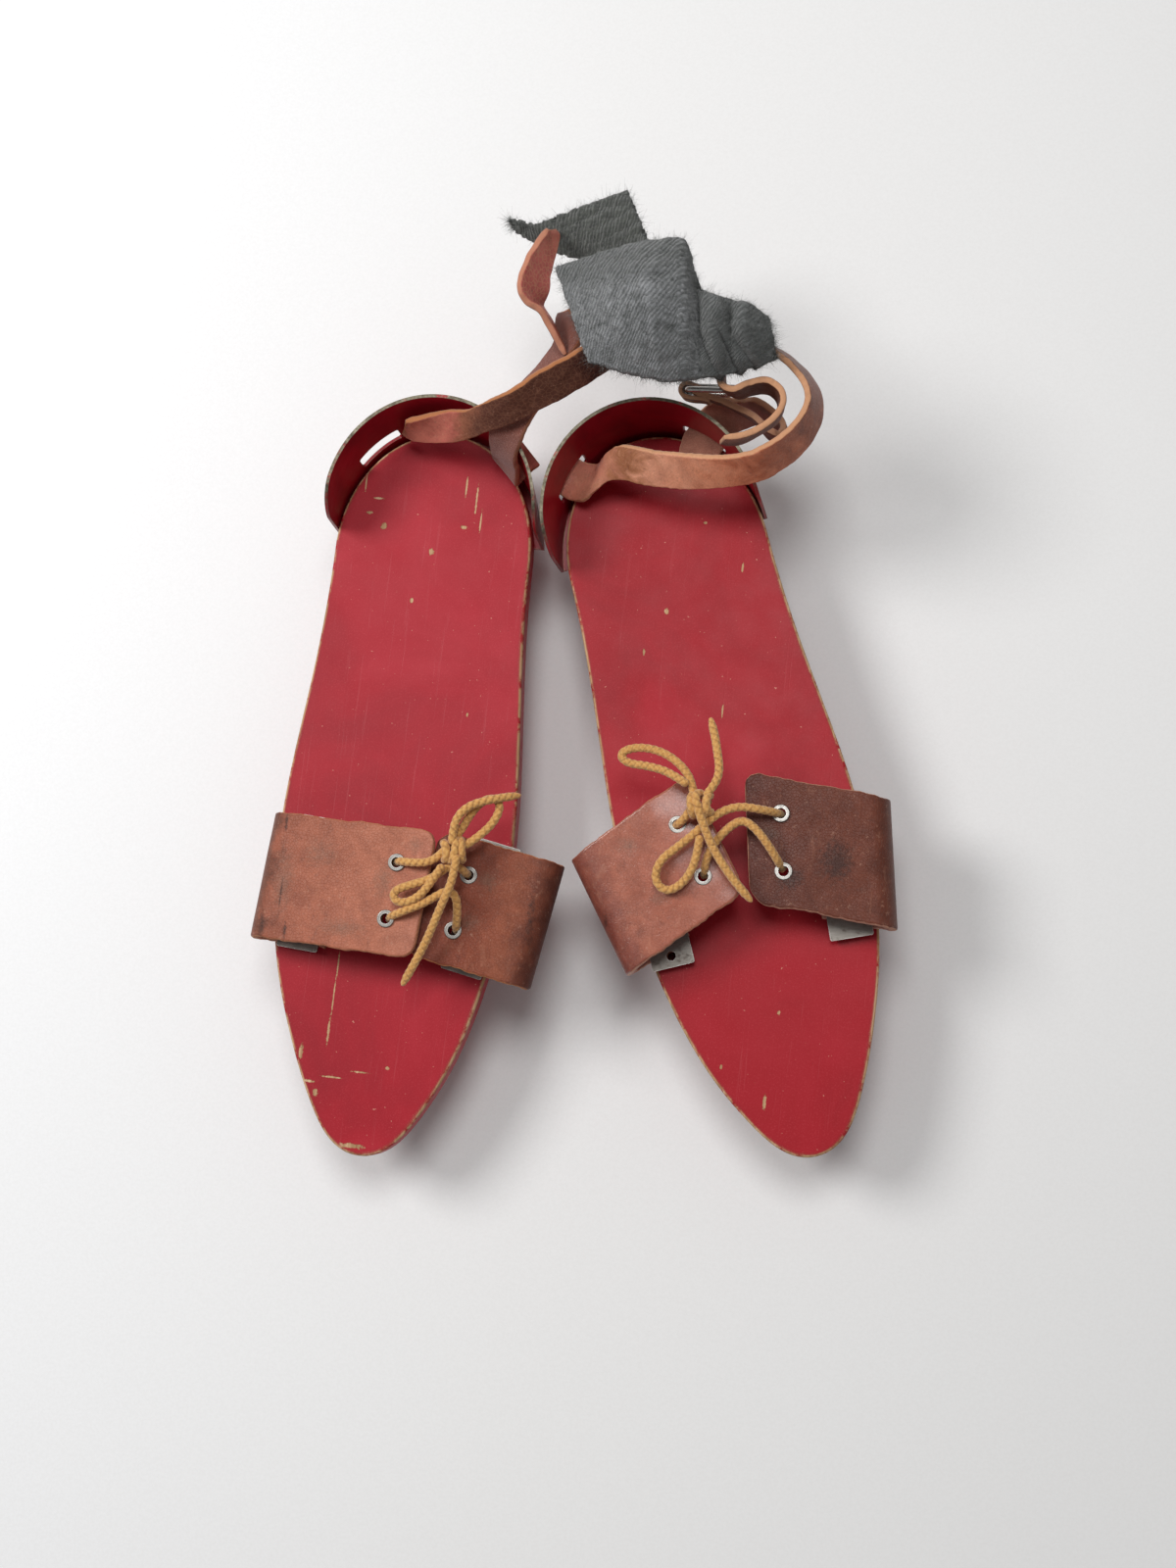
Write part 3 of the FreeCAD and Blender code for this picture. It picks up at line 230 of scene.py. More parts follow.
def build_streaks(g, given):
    """Thin scratches along Y: two stretched noises, kept where they peak."""
    fine = g.noise(g.stretch(given["Vector"], 900.0, 26.0, 900.0), 1.0, 3.0, 0.55, 0.35)
    wide = g.noise(g.stretch(given["Vector"], 260.0, 9.0, 260.0), 1.0, 2.0, 0.5, 0.6)
    return {"Fine": g.step(fine, 0.62, 0.74), "Wide": g.step(wide, 0.60, 0.70)}


SPOT = new_group("spot", {"Vector": "Vector", "Centre": "Vector", "Radii": "Vector", "Core": "Float"},
                 {"Mask": "Float"}, build_spot)
EDGE = new_group("edge", {"Vector": "Vector", "Radius": "Float", "Start": "Float"}, {"Mask": "Float"},
                 build_edge)
STREAKS = new_group("streaks", {"Vector": "Vector"}, {"Fine": "Float", "Wide": "Float"}, build_streaks)


def new_material(name):
    """Empty material with its surface shader, as the graph and that shader."""
    material = bpy.data.materials.new(name)
    material.use_nodes = True
    graph = Graph(material.node_tree)
    return material, graph, material.node_tree.nodes["Principled BSDF"]


def finish_material(graph, shader, **values):
    """Fill the surface shader's inputs, with underscores for the spaces in their names."""
    for name, value in values.items():
        graph.put(shader.inputs[name.replace("_", " ")], value)


def spots(graph, vector, places, core=0.72):
    """One mask for several ragged patches given as centre and radii in millimetres."""
    masks = []
    for centre, radii in places:
        centre = tuple(c * MM for c in centre)
        radii = tuple(r * MM for r in radii)
        masks.append(graph.group(SPOT, Vector=vector, Centre=centre, Radii=radii, Core=core)["Mask"])
    return graph.most(*masks)


def painted_wood(name, base, deep, light, chips):
    """Satin red paint with brush streaks, scratches, chips and edges worn to the wood."""
    material, g, shader = new_material(name)
    where = g.place()
    cloud = g.noise(where, 18.0, 4.0, 0.6, 0.6)
    paint = g.ramp(cloud, [(0.3, deep), (0.55, base), (0.8, light)])
    streaks = g.group(STREAKS, Vector=where)
    paint = g.mix(g.times(streaks["Wide"], 0.05), paint, light)
    paint = g.mix(g.times(streaks["Fine"], 0.08), paint, tone(214, 120, 122))
    glints = g.noise(where, 1700.0, 2.0, 0.8)
    paint = g.mix(g.times(g.step(glints, 0.52, 0.78), 0.24), paint, tone(216, 84, 92))
    specks = g.step(g.noise(where, 950.0, 3.0, 0.7), 0.71, 0.76)
    paint = g.mix(g.times(specks, 0.5), paint, tone(60, 18, 24))
    nicks = g.step(g.noise(where, 700.0, 2.0, 0.6), 0.735, 0.77)
    paint = g.mix(g.times(nicks, 0.7), paint, tone(216, 150, 130))
    grain = g.noise(g.stretch(where, 420.0, 14.0, 420.0), 1.0, 5.0, 0.6, 0.9)
    wood = g.ramp(grain, [(0.3, tone(150, 112, 78)), (0.55, tone(196, 160, 122)),
                          (0.75, tone(222, 194, 160))])
    worn = g.group(EDGE, Vector=where, Radius=0.0022, Start=0.42)["Mask"]
    dirty = g.group(EDGE, Vector=where, Radius=0.0030, Start=0.16)["Mask"]
    tilt = g.add("SeparateXYZ", {0: g.add("NewGeometry").outputs["Normal"]}).outputs["Z"]
    corner = g.times(g.step(tilt, 0.985, 0.90), g.step(tilt, 0.05, 0.35))
    kept = g.step(g.noise(where, 150.0, 6.0, 0.75), 0.40, 0.50)
    worn = g.most(g.times(worn, 0.9), g.times(corner, kept))
    bare = g.most(worn, spots(g, where, chips))
    paint = g.mix(g.times(dirty, 0.45), paint, tone(92, 26, 32))
    colour = g.mix(bare, paint, wood)
    height = g.math("SUBTRACT", g.times(grain, 0.35), g.times(bare, 0.9))
    height = g.math("SUBTRACT", height, g.times(streaks["Fine"], 0.3))
    rough = g.math("ADD", 0.36, g.times(g.noise(where, 60.0, 4.0, 0.6), 0.24))
    rough = g.math("ADD", rough, g.times(bare, 0.35))
    finish_material(g, shader, Base_Color=colour, Roughness=rough, Normal=g.bump(height, 0.00016, 0.7),
                    Specular_IOR_Level=0.24)
    return material


def give(material, *names):
    """Put one material on solids of the part."""
    for name in names:
        NODES[name].data.materials.clear()
        NODES[name].data.materials.append(material)


# Chips and scratches in the paint: centre and radii
LEFT_CHIPS = [
    ((-16.9, -70, 39), (0.35, 5, 4)), ((-17.1, -82, 39), (0.30, 9, 4)), ((-17.4, -95, 39), (0.5, 6, 4)),
    ((-22.5, -114.4, 39), (2.6, 0.5, 4)), ((-14, -112, 39), (4.5, 0.4, 4)), ((-3, -109, 39), (4.0, 0.35, 4)),
    ((6.8, -106.3, 39), (0.8, 0.7, 4)), ((-20.7, 101, 39), (1.5, 1.5, 4)), ((-0.8, 92.3, 39), (1.2, 1.3, 4)),
    ((-6.1, 72.4, 39), (0.8, 1.0, 4)), ((-24, 112, 39), (2.2, 0.5, 4)), ((-27, 106, 39), (1.4, 0.7, 4)),
    ((10, 119, 39), (0.4, 5.0, 4)), ((14.6, 114, 39), (0.45, 7.0, 4)), ((17.2, 106, 39), (0.35, 5.0, 4)),
    ((11, 103, 39), (1.6, 0.8, 4)), ((-30, 118, 39), (0.35, 4.0, 4)), ((-3.5, -136.4, 38), (5.0, 1.1, 5)),
    ((-19.5, -118.5, 38), (1.2, 1.6, 5)), ((-27, -104, 38), (0.9, 3.0, 5)), ((21, 30, 39), (0.6, 0.9, 4)),
]
RIGHT_CHIPS = [
    ((92.9, 76.4, 39), (0.9, 1.1, 4)), ((165.5, -121, 38), (3.5, 1.2, 5)), ((148, -103, 38), (0.7, 3.0, 5)),
    ((118, 40, 39), (0.35, 3.0, 4)), ((150, -70, 39), (0.7, 0.9, 4)), ((104, 112, 39), (0.8, 0.6, 4)),
    ((86, 60, 39), (0.5, 1.6, 4)), ((131, -92, 39), (0.5, 0.9, 4)), ((120, 96, 39), (0.4, 2.0, 4)),
]
give(painted_wood("left_paint", tone(166, 22, 38), tone(150, 18, 33), tone(180, 36, 51), LEFT_CHIPS),
     "left_sole")
give(painted_wood("right_paint", tone(162, 14, 30), tone(144, 10, 24), tone(174, 26, 42), RIGHT_CHIPS),
     "right_sole")


# Runners: flat steel blades with a long window, hung on edge under the soles by bent steel angles.
# Rivets go through blade and angles, and wood screws through the angles into the sole.

def worn_steel(name, dark, light, rust, rough, grain):
    """Dull steel with a brushed grain, stains and a little rust in its hollows."""
    material, g, shader = new_material(name)
    where = g.place()
    lines = g.noise(g.stretch(where, *grain), 1.0, 3.0, 0.6)
    cloud = g.noise(where, 120.0, 5.0, 0.65, 0.4)
    colour = g.mix(cloud, dark, light)
    colour = g.mix(g.times(g.step(lines, 0.4, 0.7), 0.35), colour, light)
    stain = g.step(g.noise(where, 260.0, 6.0, 0.72), 0.56, 0.70)
    colour = g.mix(g.times(stain, rust), colour, tone(92, 66, 48))
    pits = g.step(g.noise(where, 1500.0, 2.0, 0.6), 0.68, 0.74)
    colour = g.mix(g.times(pits, 0.6), colour, tone(44, 38, 34))
    bare = g.group(EDGE, Vector=where, Radius=0.0006, Start=0.5)["Mask"]
    colour = g.mix(g.times(bare, 0.6), colour, tone(226, 224, 220))
    height = g.math("SUBTRACT", g.times(lines, 0.5), pits)
    finish_material(g, shader, Base_Color=colour, Normal=g.bump(height, 0.00005, 0.6),
                    Metallic=g.math("SUBTRACT", 0.95, g.times(stain, rust * 0.8)),
                    Roughness=g.math("ADD", rough, g.times(stain, 0.25)))
    return material


def on_both(*names):
    """Full names of pieces that each skate has."""
    return [side + "_" + name for side in ("left", "right") for name in names]


RUNNER = worn_steel("runner_steel", tone(96, 92, 88), tone(142, 138, 132), 0.6, 0.42,
                    (300.0, 60.0, 2000.0))
SCREW = worn_steel("screw_steel", tone(104, 98, 90), tone(160, 154, 146), 0.55, 0.38,
                   (900.0, 900.0, 300.0))
give(RUNNER, *on_both("runner", "front_angles", "rear_angles"))
give(SCREW, *on_both("runner_rivets", "angle_screws"))


# Heel cups: thin sheet bent round the heel end and painted red like the soles, with a slot on each
# side for a strap.  The paint is rubbed off the rim, and small screws hold each cup to its sole.

def painted_sheet(name, chips):
    """Red paint on thin sheet, rubbed to grey-olive metal on the rim and the slots' edges."""
    material, g, shader = new_material(name)
    where = g.place()
    cloud = g.noise(where, 30.0, 4.0, 0.6, 0.5)
    paint = g.ramp(cloud, [(0.3, tone(118, 10, 24)), (0.55, tone(158, 16, 34)), (0.8, tone(182, 30, 52))])
    specks = g.step(g.noise(where, 1000.0, 3.0, 0.7), 0.70, 0.75)
    paint = g.mix(g.times(specks, 0.55), paint, tone(70, 14, 24))
    geometry = g.add("NewGeometry")
    facing = g.add("SeparateXYZ", {0: geometry.outputs["Normal"]}).outputs["Z"]
    level = g.add("SeparateXYZ", {0: where}).outputs["Z"]
    rim = g.times(g.step(facing, 0.55, 0.85), g.step(level, 0.043, 0.046))
    rubbed = g.group(EDGE, Vector=where, Radius=0.0009, Start=0.5)["Mask"]
    patchy = g.step(g.noise(where, 160.0, 5.0, 0.7), 0.36, 0.44)
    bare = g.most(g.times(rim, patchy), g.times(rubbed, 0.85), spots(g, where, chips))
    metal = g.ramp(g.noise(where, 700.0, 4.0, 0.6),
                   [(0.3, tone(70, 64, 54)), (0.55, tone(112, 106, 90)), (0.8, tone(150, 144, 128))])
    colour = g.mix(bare, paint, metal)
    height = g.math("SUBTRACT", g.noise(where, 130.0, 3.0, 0.5), g.times(bare, 0.4))
    rough = g.math("ADD", 0.34, g.times(bare, 0.16))
    finish_material(g, shader, Base_Color=colour, Roughness=rough, Metallic=g.times(bare, 0.7),
                    Specular_IOR_Level=0.3, Normal=g.bump(height, 0.0003, 0.6))
    return material


give(painted_sheet("left_sheet", [((40.4, 108.6, 50), (2.4, 3.4, 4))]), "left_heel_cup")
give(painted_sheet("right_sheet", [((77, 146, 69), (5, 1.2, 1.5)), ((96, 152, 69), (3, 1.4, 1.5))]),
     "right_heel_cup")
give(SCREW, *on_both("cup_screws"))


# Strap plates: dull flat steel plates on both edges of the sole's broad part, that clamp the ends
# of the toe flaps under their screws.

PLATE = worn_steel("plate_steel", tone(104, 100, 94), tone(150, 145, 139), 0.4, 0.46,
                   (300.0, 2400.0, 300.0))
give(PLATE, *on_both("outer_strap_plate", "inner_strap_plate"))
give(SCREW, *on_both("plate_screws"))


# Toe flaps: wide bands of thick leather, clamped by the plates and folded back round a soft bend
# over the sole.  Their free ends are cut with round corners and hold two eyelets each.

# The right skate's place and turn, the sole's level and end, the bands' sizes, and the light cut rim
RIGHT_X, RIGHT_Y, RIGHT_TURN = 121.6, 11.47, math.radians(19.66)
SOLE_TOP, TOE_Y = 39.5, -139.7
FLAP_WIDTH, FLAP_THICK, FLAP_FOLD, FLAP_LEG, FLAP_EASE, FLAP_CORNER = 47.6, 3.0, 7.25, 27.0, 40.0, 6.0
EYELET_SPACING, EYELET_CUT = 21.0, 2.75
CUT_EDGE = 1.3
FLAPS = {
    ("left", "outer"): {"side": -1, "out": 47.6, "from_toe": 100.1, "yaw": -4.2, "skew": 0.04,
                        "rise": 8.0, "run": 36.0, "reach": 65.6, "eyelets": 12.7},
    ("left", "inner"): {"side": 1, "out": 62.5, "from_toe": 91.5, "yaw": 9.4, "skew": 0.0,
                        "rise": 4.0, "run": 17.0, "reach": 47.0, "eyelets": 15.0},
    ("right", "outer"): {"side": -1, "out": 53.1, "from_toe": 95.1, "yaw": 11.4, "skew": 0.23,
                         "rise": 6.0, "run": 24.0, "reach": 52.5, "eyelets": 12.6},
    ("right", "inner"): {"side": 1, "out": 56.3, "from_toe": 102.1, "yaw": 12.3, "skew": 0.148,
                         "rise": 10.0, "run": 22.0, "reach": 53.0, "eyelets": 11.5},
}


def at_place(side, points):
    """Points of a skate's own frame in millimetres, as metres in the row's frame."""
    points = np.asarray(points, float)
    if side == "left":
        return points * MM
    x, y = -points[..., 0], points[..., 1]
    cos, sin = math.cos(RIGHT_TURN), math.sin(RIGHT_TURN)
    return np.stack([RIGHT_X + x * cos - y * sin, RIGHT_Y + x * sin + y * cos, points[..., 2]], -1) * MM


def wobble(points, size, seed):
    """Smooth noise of about -1 to 1: a sum of sine waves with wave lengths near the given size."""
    made = np.random.default_rng(seed)
    total = np.zeros(points.shape[:-1])
    for _ in range(7):
        way = made.normal(size=3)
        way *= 2 * math.pi / (size * made.uniform(0.6, 1.7) * np.linalg.norm(way))
        total += np.sin(points @ way + made.uniform(0, 6.28))
    return total / 3.0


def seed_of(text):
    """Steady whole number for a word: the sum of its letters' numbers, each times its place."""
    return sum((i + 1) * ord(letter) for i, letter in enumerate(text))


def distance_along(points):
    """Distance from the first point to each one, along the line through them."""
    return np.concatenate([[0], np.cumsum(np.linalg.norm(np.diff(points, axis=0), axis=1))])


def at_distances(line, reach, wanted):
    """Rows of a line at the wanted distances, between its rows at the distances in reach."""
    return np.stack([np.interp(wanted, reach, line[:, k]) for k in range(line.shape[1])], -1)


def facing_of(grid):
    """Unit normals of a grid: its change by rows crossed with its change by columns."""
    normal = np.cross(np.gradient(grid, axis=0), np.gradient(grid, axis=1))
    return normal / (np.linalg.norm(normal, axis=-1, keepdims=True) + 1e-12)


def make_object(name, vertices, faces, values=(), uv=None):
    """Mesh object from arrays, with named point values, a UV map by vertex and smooth shading."""
    mesh = bpy.data.meshes.new(name)
    mesh.from_pydata(vertices.tolist(), [], faces.tolist())
    for key, data in dict(values).items():
        mesh.attributes.new(key, "FLOAT", "POINT").data.foreach_set("value", np.asarray(data, np.float32))
    if uv is not None:
        corner = np.empty(len(mesh.loops), int)
        mesh.loops.foreach_get("vertex_index", corner)
        mesh.uv_layers.new(name="UVMap").data.foreach_set("uv", uv[corner].astype(np.float32).ravel())
    mesh.shade_smooth()
    thing = bpy.data.objects.new(name, mesh)
    bpy.context.scene.collection.objects.link(thing)
    return thing


def loop_faces(rows, columns):
    """Quads between neighbouring rows of points, with the columns closed into a loop."""
    across = np.arange(columns)
    start = (np.arange(rows - 1) * columns)[:, None]
    following = (across + 1) % columns
    return np.stack([start + across, start + following, start + columns + following,
                     start + columns + across], -1).reshape(-1, 4)


def volume_sign(points, faces):
    """Sign of the volume that the quads enclose: negative when their normals face in."""
    a, b, c, d = (points[faces[:, k]] - points.mean(0) for k in range(4))
    return np.sign((np.cross(a, b) * c).sum() + (np.cross(a, c) * d).sum())


def slab(name, side, centre, half, holes=(), values=(), turned=False):
    """Sheet of material: a grid of middle points moved half its thickness to both sides.

    The values are edge (1 on the border), under (1 on the back, or on the front of a piece that is
    turned) and along (0 to 1 by rows); the UV map holds the distances along and across in metres.
    Faces whose middle lies within an eyelet's radius of a hole are left out.
    """
    rows, columns = centre.shape[:2]
    normal = facing_of(centre)
    top, bottom = centre + normal * half[..., None], centre - normal * half[..., None]
    points = np.concatenate([top, bottom[:, ::-1]], axis=1)
    faces = loop_faces(rows, 2 * columns)
    caps = []
    for row, order in ((0, 1), (rows - 1, -1)):
        first = row * 2 * columns
        a = first + np.arange(columns - 1)
        b = first + 2 * columns - 1 - np.arange(columns - 1)
        caps.append(np.stack([a, b, b - 1, a + 1][::order], -1))
    faces = np.concatenate([faces] + caps)
    along = distance_along(centre[:, columns // 2])
    steps = np.linalg.norm(np.diff(centre, axis=1), axis=2)
    across = np.concatenate([np.zeros((rows, 1)), np.cumsum(steps, 1)], 1)
    border = np.minimum(np.minimum(along, along[-1] - along)[:, None],
                        np.minimum(across, across[:, -1:] - across))
    run = np.repeat(along[:, None], columns, 1)
    grids = {"edge": np.clip(1 - border / CUT_EDGE, 0, 1), "along": run / along[-1], **dict(values)}
    data = {key: np.concatenate([grid, grid[:, ::-1]], 1) for key, grid in grids.items()}
    data["under"] = np.repeat([[float(turned), float(not turned)]], rows, 0).repeat(columns, 1)
    uv = np.stack([np.concatenate([grid, grid[:, ::-1]], 1) for grid in (run, across)], -1) * MM
    flat = points.reshape(-1, 3)
    for place in holes:
        faces = faces[np.linalg.norm(flat[faces].mean(1)[:, :2] - place[:2], axis=1) > EYELET_CUT]
    world = at_place(side, flat)
    if volume_sign(world, faces) < 0:
        faces = faces[:, ::-1]
    flat_values = {key: grid.ravel() for key, grid in data.items()}
    return make_object(name, world, faces, flat_values, uv.reshape(-1, 2))


def settle(thing, body, slot, material, *nodes):
    """Give a piece its material and body and hide the solids that it stands for; the slot for its finish is
    not used.
    """
    thing.data.materials.append(material)
    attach(thing, body)
    if nodes:
        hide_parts(*nodes)


def build_hide(g, given):
    """Leather grain: small cells with fine pores over soft wrinkles, as a height."""
    cells = g.add("TexVoronoi", {"Vector": given["Vector"], "Scale": given["Scale"]},
                  feature="DISTANCE_TO_EDGE").outputs["Distance"]
    pores = g.noise(given["Vector"], 2600.0, 3.0, 0.6)
    wrinkles = g.noise(g.stretch(given["Vector"], 1.0, 0.45, 1.0), 240.0, 6.0, 0.65, 0.8)
    height = g.math("ADD", g.times(g.step(cells, 0.0, 0.09), 0.35), g.times(pores, 0.35))
    return {"Height": g.math("ADD", height, g.times(wrinkles, 1.1)), "Wrinkles": wrinkles}


HIDE = new_group("hide", {"Vector": "Vector", "Scale": "Float"},
                 {"Height": "Float", "Wrinkles": "Float"}, build_hide)


def leather(name, grain_stops, flesh, cut, stains=(), marks=(), gloss=0.42, cracks=0.0, shine=0.0):
    """Worn leather: colours along the piece, stains, wrinkles with painted highlight and shade, a light cut
    edge and a flesh side.
    """
    material, g, shader = new_material(name)
    where = g.place()
    hide = g.group(HIDE, Vector=where, Scale=900.0)
    drift = g.centred(g.noise(where, 90.0, 5.0, 0.65, 0.8), 0.28)
    colour = g.ramp(g.math("ADD", g.value("along"), drift), grain_stops)
    mottle = g.step(g.noise(where, 120.0, 6.0, 0.7, 0.5), 0.38, 0.66)
    colour = g.mix(g.times(mottle, 0.42), colour, g.mix(1.0, colour, tone(150, 122, 110), "MULTIPLY"))
    specks = g.step(g.noise(where, 520.0, 4.0, 0.8), 0.60, 0.70)
    colour = g.mix(g.times(specks, 0.30), colour, tone(226, 178, 152))
    grime = g.step(g.noise(where, 850.0, 5.0, 0.8), 0.44, 0.34)
    colour = g.mix(g.times(grime, 0.35), colour, tone(70, 42, 36))
    # Painted highlight on the wrinkles' crests and painted shade in their troughs, from the same relief as
    # the bump.
    colour = g.mix(g.times(g.step(hide["Wrinkles"], 0.58, 0.78), 0.22), colour, tone(220, 160, 130))
    colour = g.mix(g.times(g.step(hide["Wrinkles"], 0.42, 0.28), 0.30), colour, tone(62, 32, 26))
    if stains:
        colour = g.mix(g.times(spots(g, where, stains, 0.0), 0.45), colour, tone(112, 92, 78))
    if marks:
        colour = g.mix(g.times(spots(g, where, marks, 0.3), 0.72), colour, tone(52, 32, 28))
    if cracks:
        crackle = g.add("TexVoronoi", {"Vector": where, "Scale": 520.0},
                        feature="DISTANCE_TO_EDGE").outputs["Distance"]
        colour = g.mix(g.times(g.step(crackle, 0.10, 0.02), cracks), colour, tone(206, 150, 116))
    fuzz = g.noise(where, 2300.0, 4.0, 0.75)
    patches = g.step(g.noise(where, 210.0, 5.0, 0.7), 0.35, 0.7)
    fleshy = g.mix(patches, flesh, g.mix(0.45, flesh, tone(96, 48, 38)))
    fleshy = g.mix(g.times(g.step(fuzz, 0.5, 0.75), 0.4), fleshy, tone(236, 190, 168))
    under = g.value("under")
    colour = g.mix(under, colour, fleshy)
    ragged = g.math("ADD", g.value("edge"), g.centred(g.noise(where, 640.0, 5.0, 0.7), 0.5))
    rim = g.step(ragged, 0.70, 0.86)
    colour = g.mix(g.times(rim, 0.9), colour, g.mix(g.times(fuzz, 0.5), cut, tone(150, 96, 62)))
    height = g.math("ADD", hide["Height"], g.times(g.times(fuzz, under), 0.8))
    rough = g.math("ADD", gloss, g.times(g.math("ADD", under, rim), 0.3))
    rough = g.math("ADD", rough, g.times(hide["Wrinkles"], 0.2), True)
    finish_material(g, shader, Base_Color=colour, Roughness=rough, Normal=g.bump(height, 0.00022, 0.9),
                    Specular_IOR_Level=0.34, Coat_Weight=shine, Coat_Roughness=0.22,
                    Sheen_Weight=g.times(under, 0.25))
    return material


TAN, OCHRE, BROWN, CHOCOLATE = tone(184, 112, 86), tone(164, 94, 70), tone(146, 78, 52), tone(92, 46, 34)
RUSSET, OX, BLACKISH = tone(172, 100, 78), tone(112, 50, 42), tone(62, 34, 28)
FLAP_LEATHER = {
    ("left", "outer"): leather(
        "left_outer_hide", [(0.0, CHOCOLATE), (0.36, tone(120, 70, 52)), (0.42, OCHRE),
                            (0.6, tone(174, 102, 77)), (0.85, TAN), (1.0, tone(190, 122, 98))],
        tone(206, 132, 104), tone(198, 136, 100),
        stains=[((-37, -42, 58), (5, 15, 9)), ((-24, -30, 62), (8, 7, 9)), ((2, -38, 62), (5, 9, 9)),
                ((-12, -57, 62), (11, 4, 9)), ((12, -24, 62), (3, 4, 9))],
        marks=[((-39, -20, 56), (0.8, 4, 9)), ((-34, -60, 58), (0.8, 4, 9)), ((-37.5, -46, 58), (0.6, 6, 9)),
               ((-43.5, -58, 54), (1.5, 6, 9))]),
    ("left", "inner"): leather(
        "left_inner_hide", [(0.0, CHOCOLATE), (0.34, CHOCOLATE), (0.42, tone(104, 54, 40)), (0.56, BROWN),
                            (0.75, tone(140, 68, 44)), (1.0, tone(118, 56, 40))],
        tone(176, 104, 84), tone(204, 134, 88),
        marks=[((57, -45, 52), (2, 12, 9))], stains=[((40, -34, 58), (5, 5, 9)), ((34, -50, 58), (6, 4, 9))]),
    ("right", "inner"): leather(
        "right_inner_hide", [(0.0, CHOCOLATE), (0.3, OX), (0.42, tone(140, 76, 62)), (0.52, RUSSET),
                             (0.8, tone(178, 104, 82)), (1.0, tone(160, 90, 70))],
        tone(190, 116, 94), tone(206, 148, 116), gloss=0.24, shine=0.5,
        marks=[((84, -46, 58), (1.6, 6, 9)), ((86, -54, 58), (1.0, 3, 9))],
        stains=[((90, -16, 60), (5, 4, 9)), ((104, -34, 62), (5, 3, 9))]),
    ("right", "outer"): leather(
        "right_outer_hide", [(0.0, BLACKISH), (0.36, tone(98, 50, 36)), (0.5, tone(116, 60, 42)),
                             (0.8, tone(106, 54, 38)), (1.0, tone(96, 48, 36))],
        tone(196, 140, 124), tone(208, 158, 136), gloss=0.36,
        marks=[((166, -14, 58), (7, 9, 9)), ((150, -22, 60), (6, 5, 9))],
        stains=[((140, -6, 62), (5, 5, 9))]),
}


def flap_line(flap):
    """Side view of the band's middle layer, as distance in and level.

    Straight leg, then a half circle that stops short by the rise, a straight run up at the rise's
    angle, a wide arc back to level, and a level end.
    """
    rise = math.radians(flap["rise"])
    half = FLAP_THICK / 2
    centre = np.array([FLAP_FOLD + half, SOLE_TOP + half + FLAP_FOLD])
    leg = np.stack([np.linspace(FLAP_LEG, centre[0], 24), np.full(24, SOLE_TOP + half)], -1)
    angle = np.linspace(-math.pi / 2, -1.5 * math.pi + rise, 40)[1:]
    fold = centre + FLAP_FOLD * np.stack([np.cos(angle), np.sin(angle)], -1)
    run = fold[-1] + np.linspace(0, flap["run"], 24)[1:, None] * (math.cos(rise), math.sin(rise))
    angle = np.linspace(rise, 0, 12)[1:]
    ease = run[-1] + FLAP_EASE * np.stack([math.sin(rise) - np.sin(angle),
                                           np.cos(angle) - math.cos(rise)], -1)
    level = np.stack([np.linspace(ease[-1, 0], flap["reach"], 20)[1:], np.full(19, ease[-1, 1])], -1)
    return np.concatenate([leg, fold, run, ease, level])


def make_flap(side, which):
    """One laced toe flap: a band round its fold, with ragged cut edges and holes for the eyelets.

    Points are origin + distance in * slanted way + share of the width * way along + level, moved by
    smooth noise; the width ends in quarter circles of the corner's radius.
    """
    flap = FLAPS[side, which]
    line = flap_line(flap)
    reach = distance_along(line)
    rows, columns = 250, 110
    wanted = np.linspace(0, reach[-1], rows)
    x, z = at_distances(line, reach, wanted).T
    into = np.clip(FLAP_CORNER - (reach[-1] - wanted), 0, FLAP_CORNER)
    half_width = FLAP_WIDTH / 2 - (FLAP_CORNER - np.sqrt(FLAP_CORNER ** 2 - into ** 2))
    # Columns stand closer at both cut edges, where the band's thickness is rounded off
    share = np.concatenate([[-1, -0.99], np.linspace(-0.975, 0.975, columns - 4), [0.99, 1]])
    y = half_width[:, None] * share[None]
    yaw = math.radians(flap["yaw"])
    inward = np.array([-flap["side"] * math.cos(yaw), math.sin(yaw), 0])
    along = np.array([-inward[1], inward[0], 0])
    origin = np.array([flap["side"] * flap["out"], TOE_Y + flap["from_toe"], 0])
    slanted = inward + along * (flap["skew"] * (1 if along[1] > 0 else -1))
    centre = origin + slanted * x[:, None, None] + along * y[..., None]
    centre[..., 2] += z[:, None]
    seed = seed_of(side + which)
    free = np.clip((reach[-1] - wanted) / 30.0, 0, 1)[:, None]
    lift = wobble(centre, 34.0, seed) * 0.35 + wobble(centre, 9.0, seed + 1) * 0.10
    upper = np.clip((z - SOLE_TOP - 6) / 6, 0, 1)[:, None]
    centre[..., 2] += lift * upper * (1.15 - free * 0.6)
    edge_shift = wobble(centre, 3.0, seed + 2) * 0.16 + wobble(centre, 11.0, seed + 3) * 0.3
    centre += along * (edge_shift * np.sign(share) * np.abs(share) ** 8)[..., None]
    thin = np.where(np.abs(share) > 0.995, 0.5, np.where(np.abs(share) > 0.985, 0.85, 1.0))
    half = np.repeat((FLAP_THICK / 2 * thin)[None], rows, 0)
    half[-1] *= 0.5
    half[-2] *= 0.85
    holes = []
    for offset in (-EYELET_SPACING / 2, EYELET_SPACING / 2):
        holes.append(origin + slanted * (flap["reach"] - flap["eyelets"]) + along * offset)
    node = "%s_%s_toe_flap" % (side, which)
    piece = slab(node + "_hide", side, centre, half, holes)
    slot = "tan_leather" if which == "outer" else "brown_leather"
    settle(piece, side + "_skate", slot, FLAP_LEATHER[side, which], node)


for side, which in FLAPS:
    make_flap(side, which)


# Eyelets: small rings of dull plated metal, two in each toe flap.  They are rolled over the rims of
# their holes and carry the lace.

